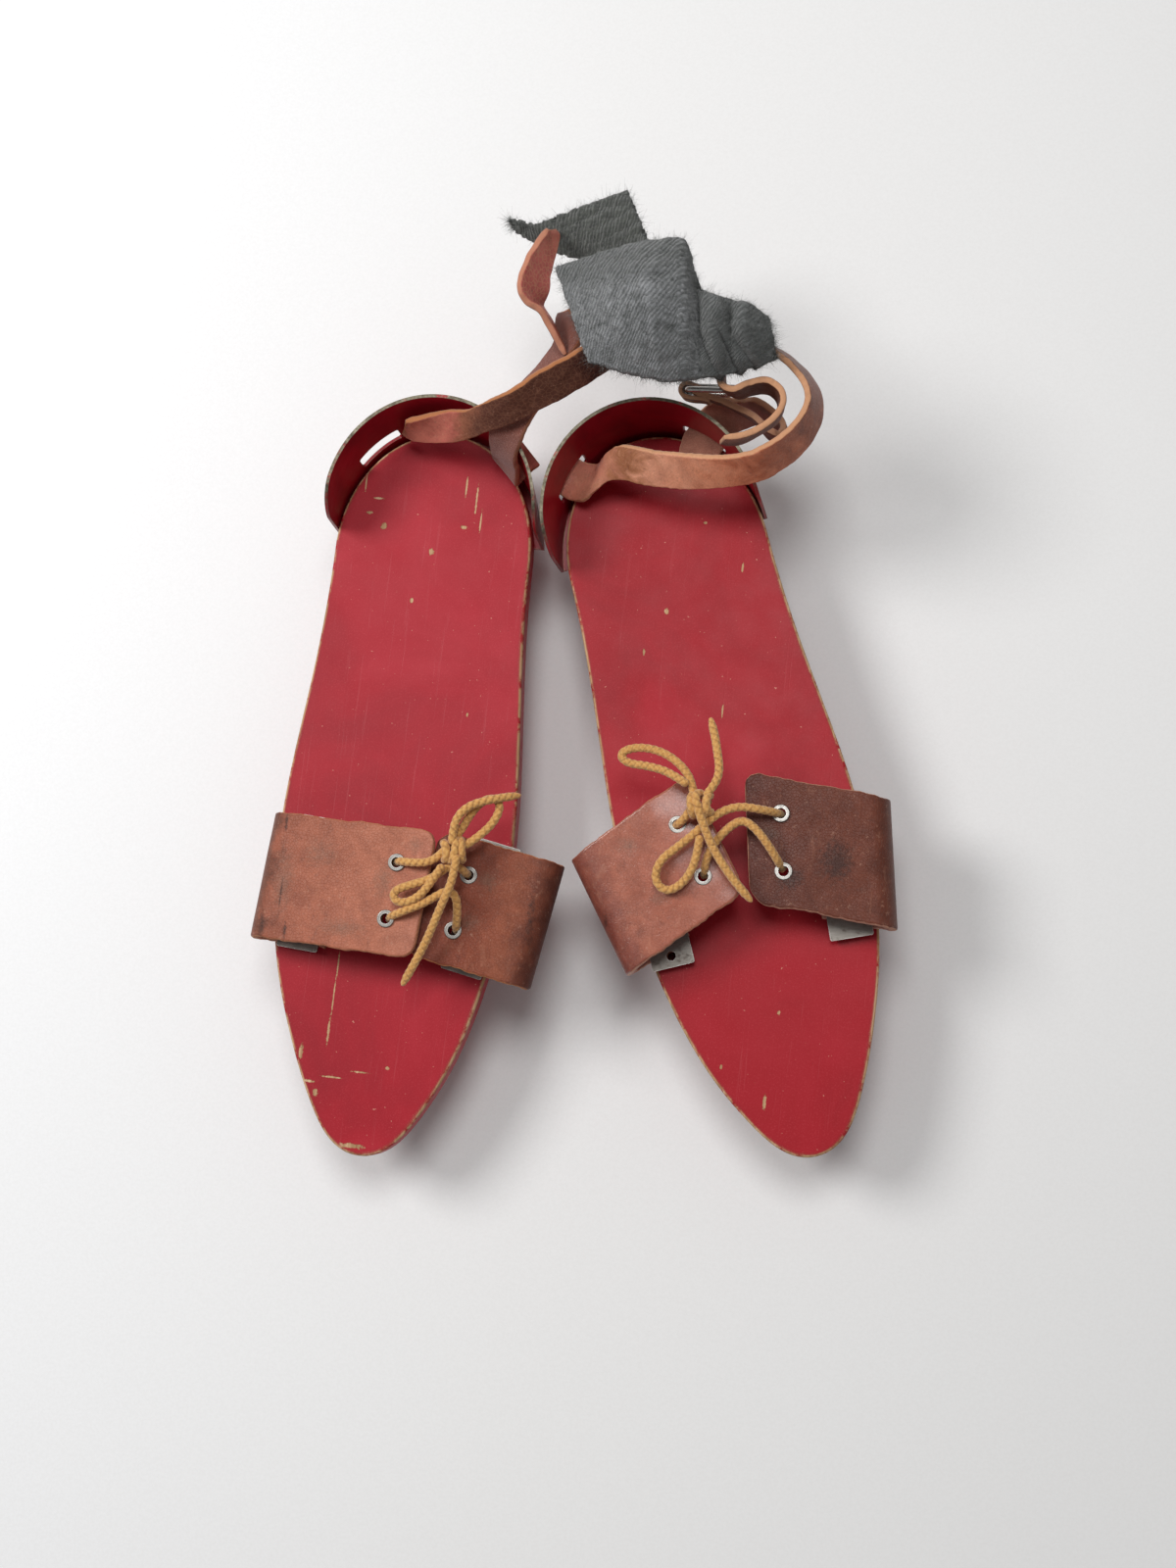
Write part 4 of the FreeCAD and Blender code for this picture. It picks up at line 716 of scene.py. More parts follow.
NICKEL = worn_steel("eyelet_nickel", tone(112, 108, 102), tone(168, 166, 162), 0.3, 0.36,
                    (700.0, 700.0, 700.0))
give(NICKEL, *on_both("eyelets"))


# Laces: one round golden braid on each skate, led up through the eyelets and tied in a bow over the
# gap between the flaps.  The knot is three tight wraps, and two tails lie bare.

# The lace's width, and the braid: turns in a metre, sides, relief, step along it and the thin tip
LACE = 3.0
BRAID_TURNS, BRAID_SIDES, BRAID_RELIEF = 105.0, 24, 0.10
BRAID_STEP, BARE_END = 0.0003, 0.004
LACES = {
    "left": {
        "lace_bow_upper": [
            (4.9, -30.5, 56), (5.7, -30.2, 62), (12.8, -30.7, 66), (19.8, -29.9, 66.5), (25.2, -24.4, 67.5),
            (29.4, -18.4, 68.5), (32.7, -10.4, 68), (36.8, -5.2, 67.5), (41.1, -4.3, 67.5),
            (43.2, -7.1, 67.5), (41.7, -12.7, 67.5), (37, -18.6, 68), (31.4, -23.2, 68)],
        "lace_bow_lower": [
            (31.6, -32.2, 54), (32.4, -32.5, 60), (29.8, -30.2, 65), (26.3, -30.8, 67), (20.7, -36, 67),
            (13.2, -38.9, 67), (7.9, -41.2, 66.8), (7.2, -44.1, 66.6), (10.3, -46, 66.6),
            (15.7, -44, 67), (20.5, -38.6, 68.5), (25, -30.5, 70)],
        "lace_tail_upper": [
            (27.5, -23.1, 70.5), (27.3, -16.9, 71.5), (29.3, -11.4, 72), (33.5, -7.8, 72),
            (39.4, -5.6, 71.5), (44.4, -3.8, 69), (50, -2.1, 66)],
        "lace_tail_lower": [
            (29.9, -26.5, 71.5), (29.6, -35.4, 71), (26.7, -43.4, 70), (23.9, -51.6, 68),
            (20.8, -60.1, 65.5), (16.3, -69.6, 63), (13.1, -75.5, 60)],
        "lace_cross": [
            (4.7, -51.6, 56), (5.3, -51.3, 62), (11.4, -48.7, 66), (18.3, -45.3, 66), (23.8, -41.4, 66.3),
            (27.1, -39.2, 66), (30.3, -41.3, 64.5), (31, -47.2, 63), (30.4, -52.6, 59.5), (29.9, -53.2, 54)],
    },
    "right": {
        "lace_bow_upper": [
            (20.9, -12.6, 55), (20.6, -13, 61), (15.9, -11.6, 66), (11.5, -7.4, 68), (10.2, -0.9, 69),
            (11.8, 6.1, 69), (17.4, 13.4, 68), (24.9, 17.5, 67), (31.1, 18.1, 66.5),
            (33.5, 16.2, 66), (31.3, 13, 66), (24.5, 10.2, 67), (17, 5.6, 69), (11.9, -0.8, 71)],
        "lace_bow_lower": [
            (-18.2, -17.3, 54), (-17.8, -17.6, 60), (-11.5, -15.2, 66), (-4.6, -12.3, 67), (1.9, -12.4, 68),
            (8.2, -15, 69), (13.7, -17.9, 68), (20.8, -21, 66.5), (28.1, -23.9, 65.5),
            (31.8, -29, 64.5), (30.7, -34, 64), (26.7, -35.7, 64), (20.5, -33, 65),
            (15.2, -26.8, 67), (12, -19.1, 69)],
        "lace_tail_upper": [
            (7.1, -6.4, 71), (2.8, -3.3, 70), (-0.4, 1.5, 69), (-1.2, 8.8, 68), (-1.8, 15.9, 67),
            (-1.7, 22, 66)],
        "lace_tail_lower": [
            (10.5, -9.1, 73), (9.7, -19.3, 71.5), (8, -27.5, 70), (5.3, -35.3, 69), (2.5, -41.3, 68),
            (-0.2, -46.8, 67)],
        "lace_cross": [
            (14.4, -32.5, 56), (14.3, -32.1, 61), (11.7, -26.8, 65), (6.8, -21.9, 66), (0.9, -18.3, 66),
            (-4.2, -17, 66), (-8.1, -21.7, 66.5), (-11.3, -29.7, 65), (-13.2, -36, 60.5),
            (-13.5, -36.7, 54)],
    },
}
KNOTS = {"left": (27.8, -24.7, 68.0), "right": (9.1, -8.4, 69.5)}
# Each wrap of a knot about its middle
WRAPS = [
    [(-3.2, -2.6, -2.6), (-1.2, -4.2, -0.6), (0.6, -3.6, 2.6), (1.4, 0.0, 3.6), (1.0, 3.4, 2.4),
     (-0.6, 4.2, -0.6), (-2.0, 2.4, -2.8), (-2.8, -1.0, -2.8)],
    [(3.4, -3.2, -2.2), (3.8, -3.4, 0.8), (3.6, -0.6, 3.0), (3.0, 2.8, 2.2), (2.0, 4.2, -0.4),
     (1.4, 2.6, -2.6)],
    [(-4.0, 1.8, -2.0), (-3.9, 2.6, 0.8), (-2.2, 0.4, 3.2), (-1.6, -2.6, 2.8), (-2.6, -4.2, 0.4),
     (-3.2, -3.6, -2.0)],
]


def braid(name, path, taper=0.0):
    """Braided lace along a path in metres: rings carried along without twist.

    The radius rises and falls where two opposite families of strands cross, as the higher of
    cos(4 (angle + twist)) and cos(4 (angle - twist)), is rounded off as a quarter circle at both ends
    and shrinks in a straight line over the taper's length to a bare end.
    """
    ahead = np.gradient(path, axis=0)
    ahead /= np.linalg.norm(ahead, axis=1, keepdims=True) + 1e-12
    side = np.cross(ahead[0], (0.3, 0.2, 1.0))
    frames = []
    for way in ahead:
        side = side - way * side.dot(way)
        side /= np.linalg.norm(side)
        frames.append((side, np.cross(way, side)))
    frames = np.array(frames)
    reach = distance_along(path)
    angle = np.arange(BRAID_SIDES) * 2 * math.pi / BRAID_SIDES
    twist = reach[:, None] * BRAID_TURNS * 2 * math.pi
    one, other = np.cos(4 * (angle + twist)), np.cos(4 * (angle - twist))
    radius = LACE / 2 * MM
    size = radius * (1 + BRAID_RELIEF * (np.maximum(one, other) - 0.5))
    near_end = np.clip(np.minimum(reach, reach[-1] - reach) / radius, 0, 1)
    size = size * np.sqrt(np.clip(1 - (1 - near_end) ** 2, 0.02, 1))[:, None]
    if taper:
        size = size * (0.55 + 0.45 * np.clip((reach[-1] - reach) / taper, 0, 1))[:, None]
    points = path[:, None] + (frames[:, 0][:, None] * np.cos(angle)[None, :, None]
                              + frames[:, 1][:, None] * np.sin(angle)[None, :, None]) * size[..., None]
    uv = np.stack(np.broadcast_arrays(reach[:, None], angle[None] / (2 * math.pi)), -1)
    strand = np.where(one > other, 0.0, 1.0)
    return make_object(name, points.reshape(-1, 3), loop_faces(len(path), BRAID_SIDES),
                       {"strand": strand.ravel()}, uv.reshape(-1, 2))


def spline_points(route):
    """Points at even steps along the NURBS curve of a given route in metres, and its length."""
    data = bpy.data.curves.new("route", "CURVE")
    data.dimensions = "3D"
    data.resolution_u = 24
    spline = data.splines.new("NURBS")
    spline.points.add(len(route) - 1)
    for point, place in zip(spline.points, route):
        point.co = (*place, 1.0)
    spline.order_u = 3
    spline.use_endpoint_u = True
    holder = bpy.data.objects.new("route", data)
    mesh = bpy.data.meshes.new_from_object(holder)
    line = np.empty(len(mesh.vertices) * 3)
    mesh.vertices.foreach_get("co", line)
    line = line.reshape(-1, 3)
    bpy.data.objects.remove(holder)
    bpy.data.meshes.remove(mesh)
    reach = distance_along(line)
    wanted = np.linspace(0, reach[-1], int(reach[-1] / BRAID_STEP))
    return at_distances(line, reach, wanted), float(reach[-1])


def lace_material():
    """Golden-tan braid: two families of strands, dark flecks in short runs, worn fuzz."""
    material, g, shader = new_material("braided_lace")
    uv = g.add("SeparateXYZ", {0: g.sheet_place()})
    strand = g.value("strand")
    where = g.place()
    yarn = g.mix(strand, tone(204, 148, 78), tone(220, 170, 98))
    shade = g.noise(where, 260.0, 4.0, 0.6)
    yarn = g.mix(g.times(shade, 0.35), yarn, tone(170, 112, 52))
    spiral = g.math("FRACT", g.math("ADD", g.times(uv.outputs["X"], 420.0), g.times(uv.outputs["Y"], 2.0)))
    fleck = g.times(g.step(spiral, 0.62, 0.80), g.step(g.noise(where, 420.0, 2.0, 0.5), 0.35, 0.55))
    yarn = g.mix(g.times(fleck, 0.55), yarn, tone(140, 88, 42))
    fibres = g.noise(where, 4200.0, 3.0, 0.7)
    yarn = g.mix(g.times(g.step(fibres, 0.5, 0.8), 0.35), yarn, tone(236, 196, 130))
    finish_material(g, shader, Base_Color=yarn, Roughness=0.82, Normal=g.bump(fibres, 0.00012, 0.8),
                    Sheen_Weight=0.35, Sheen_Roughness=0.5)
    return material


def make_laces(material):
    """Five runs of lace and three wraps of knot on each skate, all braided."""
    for side, routes in LACES.items():
        body = side + "_skate"
        middle = np.array(KNOTS[side])
        for i, wrap in enumerate(WRAPS):
            path, _ = spline_points(at_place(side, middle + np.array(wrap, float)).tolist())
            piece = braid("%s_knot_wrap_%d" % (side, i), path)
            settle(piece, body, "lace_cord", material, *([side + "_lace_knot"] if i == 0 else []))
        for name, route in routes.items():
            node = side + "_" + name
            path, length = spline_points(at_place(side, route).tolist())
            free = name.startswith("lace_tail")
            piece = braid(node + "_braid", path, BARE_END if free else 0.0)
            settle(piece, body, "lace_cord", material, node)


make_laces(lace_material())


# Ankle and slot straps: narrow leather bands, led through the slots of the heel cups.  Two of them
# are folded round a buckle's bar in a pair of loops, and one stands up in a stiff curled tail.

STRAP_WIDTH, STRAP_THICK = 15.9, 2.4
BAR_OFFSET, EYE_RADIUS, EYE_GAP = 2.26, 2.5, 4.8
# Step between rows, the notch for the prong, and how far the ends lie flat and are thinned
ROW_STEP, NOTCH_DEPTH, NOTCH_ROWS = 0.45, 2.2, 14
CALM_END, THIN_END = 14.0, 2.4
SLOTS = {"inner": ((28.66, 130.62, 44.0), (0.7328, 0.6805)),
         "outer": ((-25.74, 131.72, 44.0), (-0.7085, 0.7057))}


def slot_pair(which, distance, tilt=0.0, facing=1):
    """Edge points of a strap lying in a slot, moved out along the slot's axis and tilted."""
    middle, (x, y) = SLOTS[which]
    tip = math.radians(tilt)
    level = facing * math.cos(tip)
    across = np.array([-y * level, x * level, math.sin(tip)]) * STRAP_WIDTH / 2
    here = np.array(middle) + np.array([x, y, 0]) * distance
    return tuple(here + across), tuple(here - across)


# Both edges of each strap, from pair to pair along it
STRAPS = {
    "left_ankle": [
        ((-11.6, 136.6, 62), (-16.1, 136.6, 46.8)), ((-5.3, 138.2, 64), (-9.3, 133.3, 49.5)),
        ((4.8, 140, 67), (1.1, 132, 54.2)), ((15.3, 139, 75), (11.6, 131, 61.5)),
        ((24.7, 138.9, 87), (24, 132.4, 73)), ((33.7, 140.9, 94), (34.3, 134.3, 80)),
        ((45.5, 148.4, 97), (46.7, 140.2, 83.5)), ((57.1, 155.8, 98), (59.7, 149.2, 84)),
        ((64.5, 161.4, 98.5), (67.2, 155, 84.5)), ((75.5, 169.1, 99), (78.3, 162.8, 85))],
    "left_slot": [
        slot_pair("inner", 6, 0, -1), slot_pair("inner", 0, 0, -1),
        ((31.7, 119.5, 46.5), (20.9, 130.9, 44.3)), ((32.6, 121.6, 55), (21.2, 131, 49)),
        ((33.1, 124.5, 65.5), (21.9, 129.5, 55.5)), ((35.3, 130.5, 73.5), (23.7, 131.5, 67.5)),
        ((38.4, 137.3, 77), (26.6, 136.7, 74)), ((43.9, 146.6, 78.5), (32.1, 145.4, 75)),
        ((49.5, 156.6, 82), (38.5, 155.4, 74)), ((55.3, 163.5, 86.5), (44.7, 164.4, 76.5)),
        ((54.8, 170.5, 88), (45, 172.3, 77)), ((50.5, 174.6, 89), (45.1, 177.4, 76.5))],
    "left_slot_tail": [
        ((50.6, 158.7, 85), (48.6, 164.8, 71.5)), ((44.1, 167.9, 90), (42.1, 174.1, 75.5)),
        ((40.9, 171.8, 93), (38.7, 178.1, 78.5)), ((35.5, 174.1, 95.5), (39, 179, 81)),
        ((32.9, 178.6, 98), (41.4, 182.4, 85.2)), ((33.8, 184.5, 99), (41.5, 189, 85.8)),
        ((36.3, 192.6, 98), (42.1, 197.7, 84.5)), ((39.2, 199.2, 96), (42, 204.6, 82.5)),
        ((40.6, 202, 95), (40.4, 207.6, 81.5))],
    "right_ankle": [
        slot_pair("inner", 6), slot_pair("inner", 0), slot_pair("inner", -4, 20),
        ((15.7, 130.8, 48.8), (26.1, 119.2, 46.4)), ((11.1, 131.2, 57.7), (19.7, 120.8, 49.9)),
        ((5.2, 130, 66), (12.2, 121.9, 54.2)), ((-4.3, 123.8, 71), (0.4, 115.5, 58.2)),
        ((-16.4, 116.5, 77), (-13.8, 108.4, 63.5)), ((-30.5, 110.2, 83), (-29.6, 103.6, 68.5)),
        ((-41.1, 108.3, 87), (-43.4, 102, 72.5)), ((-51.2, 110.8, 89), (-55.6, 106.5, 74.2)),
        ((-59.3, 116.1, 90), (-64.7, 114, 75.2)), ((-63.1, 121.4, 91), (-68.3, 122.6, 76)),
        ((-63, 127.9, 91), (-67.4, 130.6, 76)), ((-59.4, 136.4, 90), (-63.2, 139.8, 75)),
        ((-53.3, 142.8, 90), (-56.3, 147.6, 75.2)), ((-44.7, 143.9, 90.8), (-46.7, 150.4, 76.3)),
        ((-37.2, 140, 90.8), (-38.5, 146.3, 76.3)), ((-34.6, 134.9, 90.8), (-36, 138.6, 76)),
        ((-38.3, 131.2, 90.8), (-39.8, 133.4, 76)), ((-44.3, 132.1, 91), (-44.9, 133.2, 75.2)),
        ((-50.5, 131.3, 91), (-50.7, 132, 75.2)), ((-54.2, 127.6, 91), (-53.7, 128, 75.2)),
        ((-54.8, 122.9, 91), (-53.6, 123.9, 75.2)), ((-52, 118.6, 91), (-50.1, 120, 75.2)),
        ((-46, 115.3, 91), (-43.5, 117.8, 75.5)), ((-38.7, 113.8, 91), (-36.4, 116.4, 75.5)),
        ((-31.1, 114.6, 91), (-29.3, 118.2, 75.5))],
    "right_buckle": [
        ((-11, 120.6, 41.8), (-26, 115.4, 41.4)), ((-13.5, 127, 42.6), (-28, 121.5, 42.4)),
        slot_pair("outer", -4, 0, -1), slot_pair("outer", 0, 0, -1), slot_pair("outer", 4, 10, -1),
        ((-33.5, 142, 47.5), (-37, 134, 40)), ((-39.5, 139.5, 51), (-42, 134, 40.5)),
        ((-46.5, 135.5, 60), (-48, 131, 46)), ((-52, 128, 62), (-53, 125.5, 47)),
        ((-53.8, 121.8, 65), (-54.3, 120.6, 49.5)), ((-51.2, 118.4, 68), (-52, 117.8, 52.5)),
        ((-47.6, 120.8, 69.5), (-48.8, 122.2, 54)), ((-43.6, 126.4, 71), (-45, 129.2, 55.5)),
        ((-37.5, 131.8, 71.5), (-38.8, 135.4, 56.2)), ((-31.2, 136.9, 71.5), (-32.2, 140.6, 56.2)),
        ((-24.6, 141.2, 71.5), (-25.4, 145, 56.2))],
}
PINK, SALMON, SUEDE = tone(196, 108, 94), tone(206, 122, 104), tone(108, 66, 50)
STRAP_LEATHER = {
    "left_ankle": leather(
        "left_ankle_hide", [(0.0, tone(178, 112, 76)), (0.05, SALMON), (0.2, PINK), (0.28, tone(150, 92, 68)),
                            (0.38, SUEDE), (0.7, SUEDE), (0.85, tone(86, 46, 38)), (1.0, tone(78, 42, 34))],
        tone(150, 92, 74), tone(186, 122, 78), marks=[((-4.7, 137.4, 58), (1.0, 1.0, 4))],
        gloss=0.72, cracks=0.15),
    "left_slot": leather(
        "left_slot_hide", [(0.0, PINK), (0.28, PINK), (0.4, tone(132, 66, 54)), (0.55, tone(84, 44, 36)),
                           (0.85, tone(76, 40, 34)), (1.0, PINK)],
        tone(120, 66, 54), tone(176, 116, 84), gloss=0.5),
    "left_slot_tail": leather(
        "left_tail_hide", [(0.0, SALMON), (0.3, tone(206, 112, 100)), (0.6, tone(206, 108, 98)),
                           (1.0, tone(214, 124, 108))],
        tone(86, 38, 32), tone(206, 142, 116), marks=[((36.6, 179, 91), (0.9, 0.9, 4))],
        gloss=0.5, cracks=0.55),
    "right_ankle": leather(
        "right_ankle_hide", [(0.0, SALMON), (0.12, tone(206, 138, 112)), (0.17, tone(178, 118, 82)),
                             (0.22, tone(240, 172, 140)), (0.34, tone(236, 158, 122)),
                             (0.42, tone(196, 112, 78)), (0.52, tone(138, 74, 52)),
                             (0.66, tone(110, 62, 46)), (1.0, tone(84, 46, 36))],
        tone(140, 84, 62), tone(222, 168, 128), gloss=0.34, cracks=0.1),
    "right_buckle": leather(
        "right_buckle_hide", [(0.0, BROWN), (0.3, tone(110, 66, 48)), (0.6, tone(120, 72, 56)),
                              (1.0, tone(132, 86, 70))],
        tone(178, 118, 98), tone(214, 164, 132), gloss=0.5),
}
STRAP_NODES = {"left_ankle": ("left_ankle_strap",), "left_slot": ("left_slot_strap",), "left_slot_tail": (),
               "right_ankle": ("right_ankle_strap",), "right_buckle": ("right_buckle_strap",)}
EYED = ("left_ankle", "right_buckle")
GRAIN_BEHIND = ("right_ankle",)


def smooth_line(points, count):
    """Catmull-Rom curve through the rows of points, resampled to even steps of arc length."""
    points = np.asarray(points, float)
    ends = np.vstack([2 * points[0] - points[1], points, 2 * points[-1] - points[-2]])
    steps = np.linspace(0, 1, 24, endpoint=False)[:, None]
    parts = []
    for i in range(1, len(ends) - 2):
        a, b, c, d = ends[i - 1:i + 3]
        parts.append(0.5 * (2 * b + (c - a) * steps + (2 * a - 5 * b + 4 * c - d) * steps ** 2
                            + (3 * b - a - 3 * c + d) * steps ** 3))
    line = np.vstack(parts + [points[-1:]])
    reach = distance_along(line[:, :3])
    return at_distances(line, reach, np.linspace(0, reach[-1], count))


def strap_grid(name, pairs):
    """Grid of a strap's middle layer: middle + share of the width * way across, moved by smooth noise.

    The rows of the middle columns of a strap with a buckle are drawn back to make the prong's notch.
    """
    pairs = np.array(pairs, float)
    middle = pairs.mean(1)
    across = pairs[:, 0] - pairs[:, 1]
    across /= np.linalg.norm(across, axis=1, keepdims=True)
    length = np.linalg.norm(np.diff(middle, axis=0), axis=1).sum()
    rows, columns = int(length / ROW_STEP), 44
    line = smooth_line(np.hstack([middle, across]), rows)
    across = line[:, 3:] / np.linalg.norm(line[:, 3:], axis=1, keepdims=True)
    share = np.concatenate([[-1, -0.975], np.linspace(-0.94, 0.94, columns - 4), [0.975, 1]])
    width = STRAP_WIDTH / 2
    ends = np.minimum(np.arange(rows), rows - 1 - np.arange(rows)) * ROW_STEP
    row = np.arange(rows, dtype=float)[:, None]
    pulled = NOTCH_DEPTH / ROW_STEP * np.clip((row - rows + NOTCH_ROWS) / (NOTCH_ROWS - 1), 0, 1)
    pulled = pulled * (np.abs(share * width) < EYE_GAP / 2 + 0.05)
    row = np.repeat(row, columns, 1) - (pulled if name in EYED else 0)
    low = np.minimum(row.astype(int), rows - 2)
    part = (row - low)[..., None]
    run = np.hstack([line[:, :3], across])
    run = run[low] * (1 - part) + run[low + 1] * part
    grid = run[..., :3] + run[..., 3:] * (share * width)[None, :, None]
    seed = seed_of(name)
    wrinkles = wobble(grid, 8.0, seed) * 0.10 + wobble(grid, 22.0, seed + 4) * 0.14
    grid += facing_of(grid) * (wrinkles * np.clip(ends / CALM_END, 0, 1)[:, None])[..., None]
    ragged = wobble(grid, 2.6, seed + 1) * 0.13 + wobble(grid, 9.0, seed + 2) * 0.22
    grid += across[:, None] * (ragged * np.sign(share) * np.abs(share) ** 8)[..., None]
    thin = np.where(np.abs(share) > 0.99, 0.5, np.where(np.abs(share) > 0.96, 0.85, 1.0))
    half = (STRAP_THICK / 2 * thin)[None] * (0.6 + 0.4 * np.clip(ends / THIN_END, 0, 1))[:, None]
    return grid, half


def eye_rows(pairs, low, high):
    """Grid of one leather loop: half a circle round a buckle's bar, and two legs that draw together.

    It lies between two distances from the strap's middle line.
    """
    pairs = np.array(pairs[-2:], float)
    middle = pairs.mean(1)
    across = pairs[1, 0] - pairs[1, 1]
    across /= np.linalg.norm(across)
    ahead = middle[1] - middle[0]
    ahead -= across * ahead.dot(across)
    ahead /= np.linalg.norm(ahead)
    facing = np.cross(ahead, across)
    bar = middle[1] + ahead * BAR_OFFSET
    upper = np.array([(9.0, 0.55), (6.0, 0.62), (3.0, 0.9), (1.2, 1.0)])
    turn = np.radians(np.linspace(90, -90, 20))
    back = np.concatenate([-upper[:, 0], EYE_RADIUS * np.cos(turn), -upper[:0:-1, 0]])
    lift = np.concatenate([upper[:, 1], np.sin(turn), -upper[:0:-1, 1]]) * EYE_RADIUS
    line = smooth_line(bar + ahead * back[:, None] + facing * lift[:, None], 70)
    share = np.linspace(low, high, 14)
    grid = line[:, None] + across[None, None] * share[None, :, None]
    return grid, np.full(grid.shape[:2], STRAP_THICK * 0.32)


def make_straps():
    """Ankle straps, the left slot strap with its curled tail, and the right buckle strap."""
    for name, pairs in STRAPS.items():
        side = name.split("_")[0]
        grid, half = strap_grid(name, pairs)
        piece = slab(name + "_leather", side, grid, half, turned=name in GRAIN_BEHIND)
        settle(piece, side + "_skate", "strap_leather", STRAP_LEATHER[name], *STRAP_NODES[name])
        if name in EYED:
            bands = ((-STRAP_WIDTH / 2, -EYE_GAP / 2), (EYE_GAP / 2, STRAP_WIDTH / 2))
            for i, (low, high) in enumerate(bands):
                loop = slab("%s_eye_%d" % (name, i), side, *eye_rows(pairs, low, high))
                settle(loop, side + "_skate", "strap_leather", STRAP_LEATHER[name])


make_straps()


# Buckles: frames of bent steel wire with a wire prong, both hinged on the bar in the strap's loops.
# They are bright where they rub and spotted with rust.

BUCKLE = worn_steel("buckle_wire", tone(150, 146, 140), tone(220, 218, 214), 0.42, 0.20,
                    (600.0, 600.0, 600.0))
give(BUCKLE, *on_both("buckle_frame", "buckle_prong"))


# Felt pads: thick grey wool felt laid over the ankle straps, with a lumpy face, torn edges and loose
# hairs.  The right one is gathered into folds at its end.

FELT_THICK, FELT_COLUMNS, FELT_STEP = 3.0, 120, 0.35
GROOVE_DEPTH = 4.5
EDGE_HAIR, TOP_HAIR, HAIR_THICK = 2.6, 1.1, 0.05
# Rows across each pad: far end, near end and the arc's height between them
FELTS = {
    "left": [
        ((22, 213, 77.5), (24, 209.4, 77), 0.3), ((32, 210.5, 79.5), (45, 201, 77), 0.5),
        ((49, 218, 81), (63, 197, 78), 0.6), ((66, 225.5, 81), (84, 192, 79), 1.0)],
    "right": [
        ((12.6, 187.9, 105), (9.4, 150.7, 103), 2.5), ((-6, 186, 111), (-4, 143, 101), 9.0),
        ((-20, 184.5, 114), (-15, 138, 99), 12.0), ((-34, 182, 115), (-22, 136.5, 98), 8.0),
        ((-34.5, 165, 109), (-28, 136.5, 97), 2.0), ((-40, 158.6, 112), (-34, 135.5, 97), 6.5),
        ((-44.5, 157, 109), (-39, 135.5, 96.5), 3.0), ((-49, 154, 111), (-44.5, 135.5, 97), 6.0),
        ((-56, 147.5, 106), (-56, 135.5, 98.5), 2.0)],
}


def halfway(one, other):
    """Middle of two colours."""
    return [(a + b) / 2 for a, b in zip(one, other)]


def felt_material(name, dark, light, warm, band=0.0, hump=0.0):
    """Coarse salt-and-pepper wool: clumps of dark and light fibres at three sizes.

    The last two numbers set painted shade on the pad's curled far side and on its gathered end, both 0 to 1.
    """
    material, g, shader = new_material(name)
    where = g.place()
    clumps = g.noise(where, 260.0, 5.0, 0.75, 1.2)
    colour = g.ramp(clumps, [(0.36, dark), (0.5, halfway(dark, light)), (0.64, light)])
    colour = g.mix(g.times(g.step(g.noise(where, 60.0, 4.0, 0.6), 0.45, 0.7), 0.45), colour, warm)
    strands = g.noise(g.stretch(where, 1.0, 1.0, 2.0), 1500.0, 4.0, 0.8, 2.5)
    uv = g.add("SeparateXYZ", {0: g.sheet_place()})
    slant = g.math("ADD", g.times(uv.outputs["X"], 3900.0), g.times(uv.outputs["Y"], 3300.0))
    twill = g.math("ADD", g.math("SINE", slant), g.times(g.noise(where, 380.0, 3.0, 0.6), 3.0))
    colour = g.mix(g.times(g.step(twill, 1.1, 0.4), 0.5), colour, dark)
    # Painted shade: darker along the curled far side and over the gathered end of the pad.
    shaded = g.most(g.times(g.step(g.value("far"), 0.60, 0.82), band),
                    g.times(g.step(g.value("along"), 0.56, 0.64), hump))
    colour = g.mix(g.times(shaded, 0.82), colour, tone(50, 57, 53))
    # Painted shade: the grooves between the gathered folds are darkened to near black by their depth.
    colour = g.mix(g.times(g.value("deep"), 0.9), colour, tone(22, 26, 24))
    flecks = g.times(g.step(strands, 0.55, 0.66), g.math("SUBTRACT", 0.6, g.times(shaded, 0.35)))
    colour = g.mix(flecks, colour, light)
    colour = g.mix(g.times(g.step(strands, 0.45, 0.36), 0.75), colour, tone(38, 42, 38))
    height = g.math("ADD", g.times(clumps, 0.9), g.math("ADD", strands, g.times(twill, 0.3)))
    finish_material(g, shader, Base_Color=colour, Roughness=0.95, Normal=g.bump(height, 0.0007, 1.0),
                    Specular_IOR_Level=0.15, Sheen_Weight=0.5, Sheen_Roughness=0.6)
    return material


def fibre_material():
    """Loose wool hairs, pale to dark by their place."""
    material, g, shader = new_material("wool_hairs")
    shade = g.noise(g.place(), 700.0, 2.0, 0.6)
    colour = g.ramp(shade, [(0.35, tone(40, 44, 40)), (0.5, tone(92, 96, 92)), (0.68, tone(172, 172, 170))])
    finish_material(g, shader, Base_Color=colour, Roughness=0.9)
    return material


def felt_grid(rows):
    """Grid of a pad's middle layer: arcs across it, joined in straight lines, then evened out.

    An arc is the line between its ends, raised by crown * (1 - share across ^ 2).
    """
    across = np.linspace(-1, 1, FELT_COLUMNS)
    lines = []
    for far_end, near_end, crown in rows:
        far_end, near_end = np.array(far_end, float), np.array(near_end, float)
        line = (far_end + near_end) / 2 + (near_end - far_end) / 2 * across[:, None]
        line[:, 2] += crown * (1 - across ** 2) - FELT_THICK / 2
        lines.append(line)
    flat = np.array(lines).reshape(len(rows), -1)
    reach = distance_along(np.array(lines)[:, FELT_COLUMNS // 2])
    count = int(reach[-1] / FELT_STEP)
    grid = at_distances(flat, reach, np.linspace(0, reach[-1], count))
    window = np.hanning(13)[1:-1] / np.hanning(13)[1:-1].sum()
    padded = np.pad(grid, ((5, 5), (0, 0)), "reflect", reflect_type="odd")
    grid = np.stack([np.convolve(padded[:, k], window, "valid") for k in range(grid.shape[1])], -1)
    return grid.reshape(count, FELT_COLUMNS, 3)


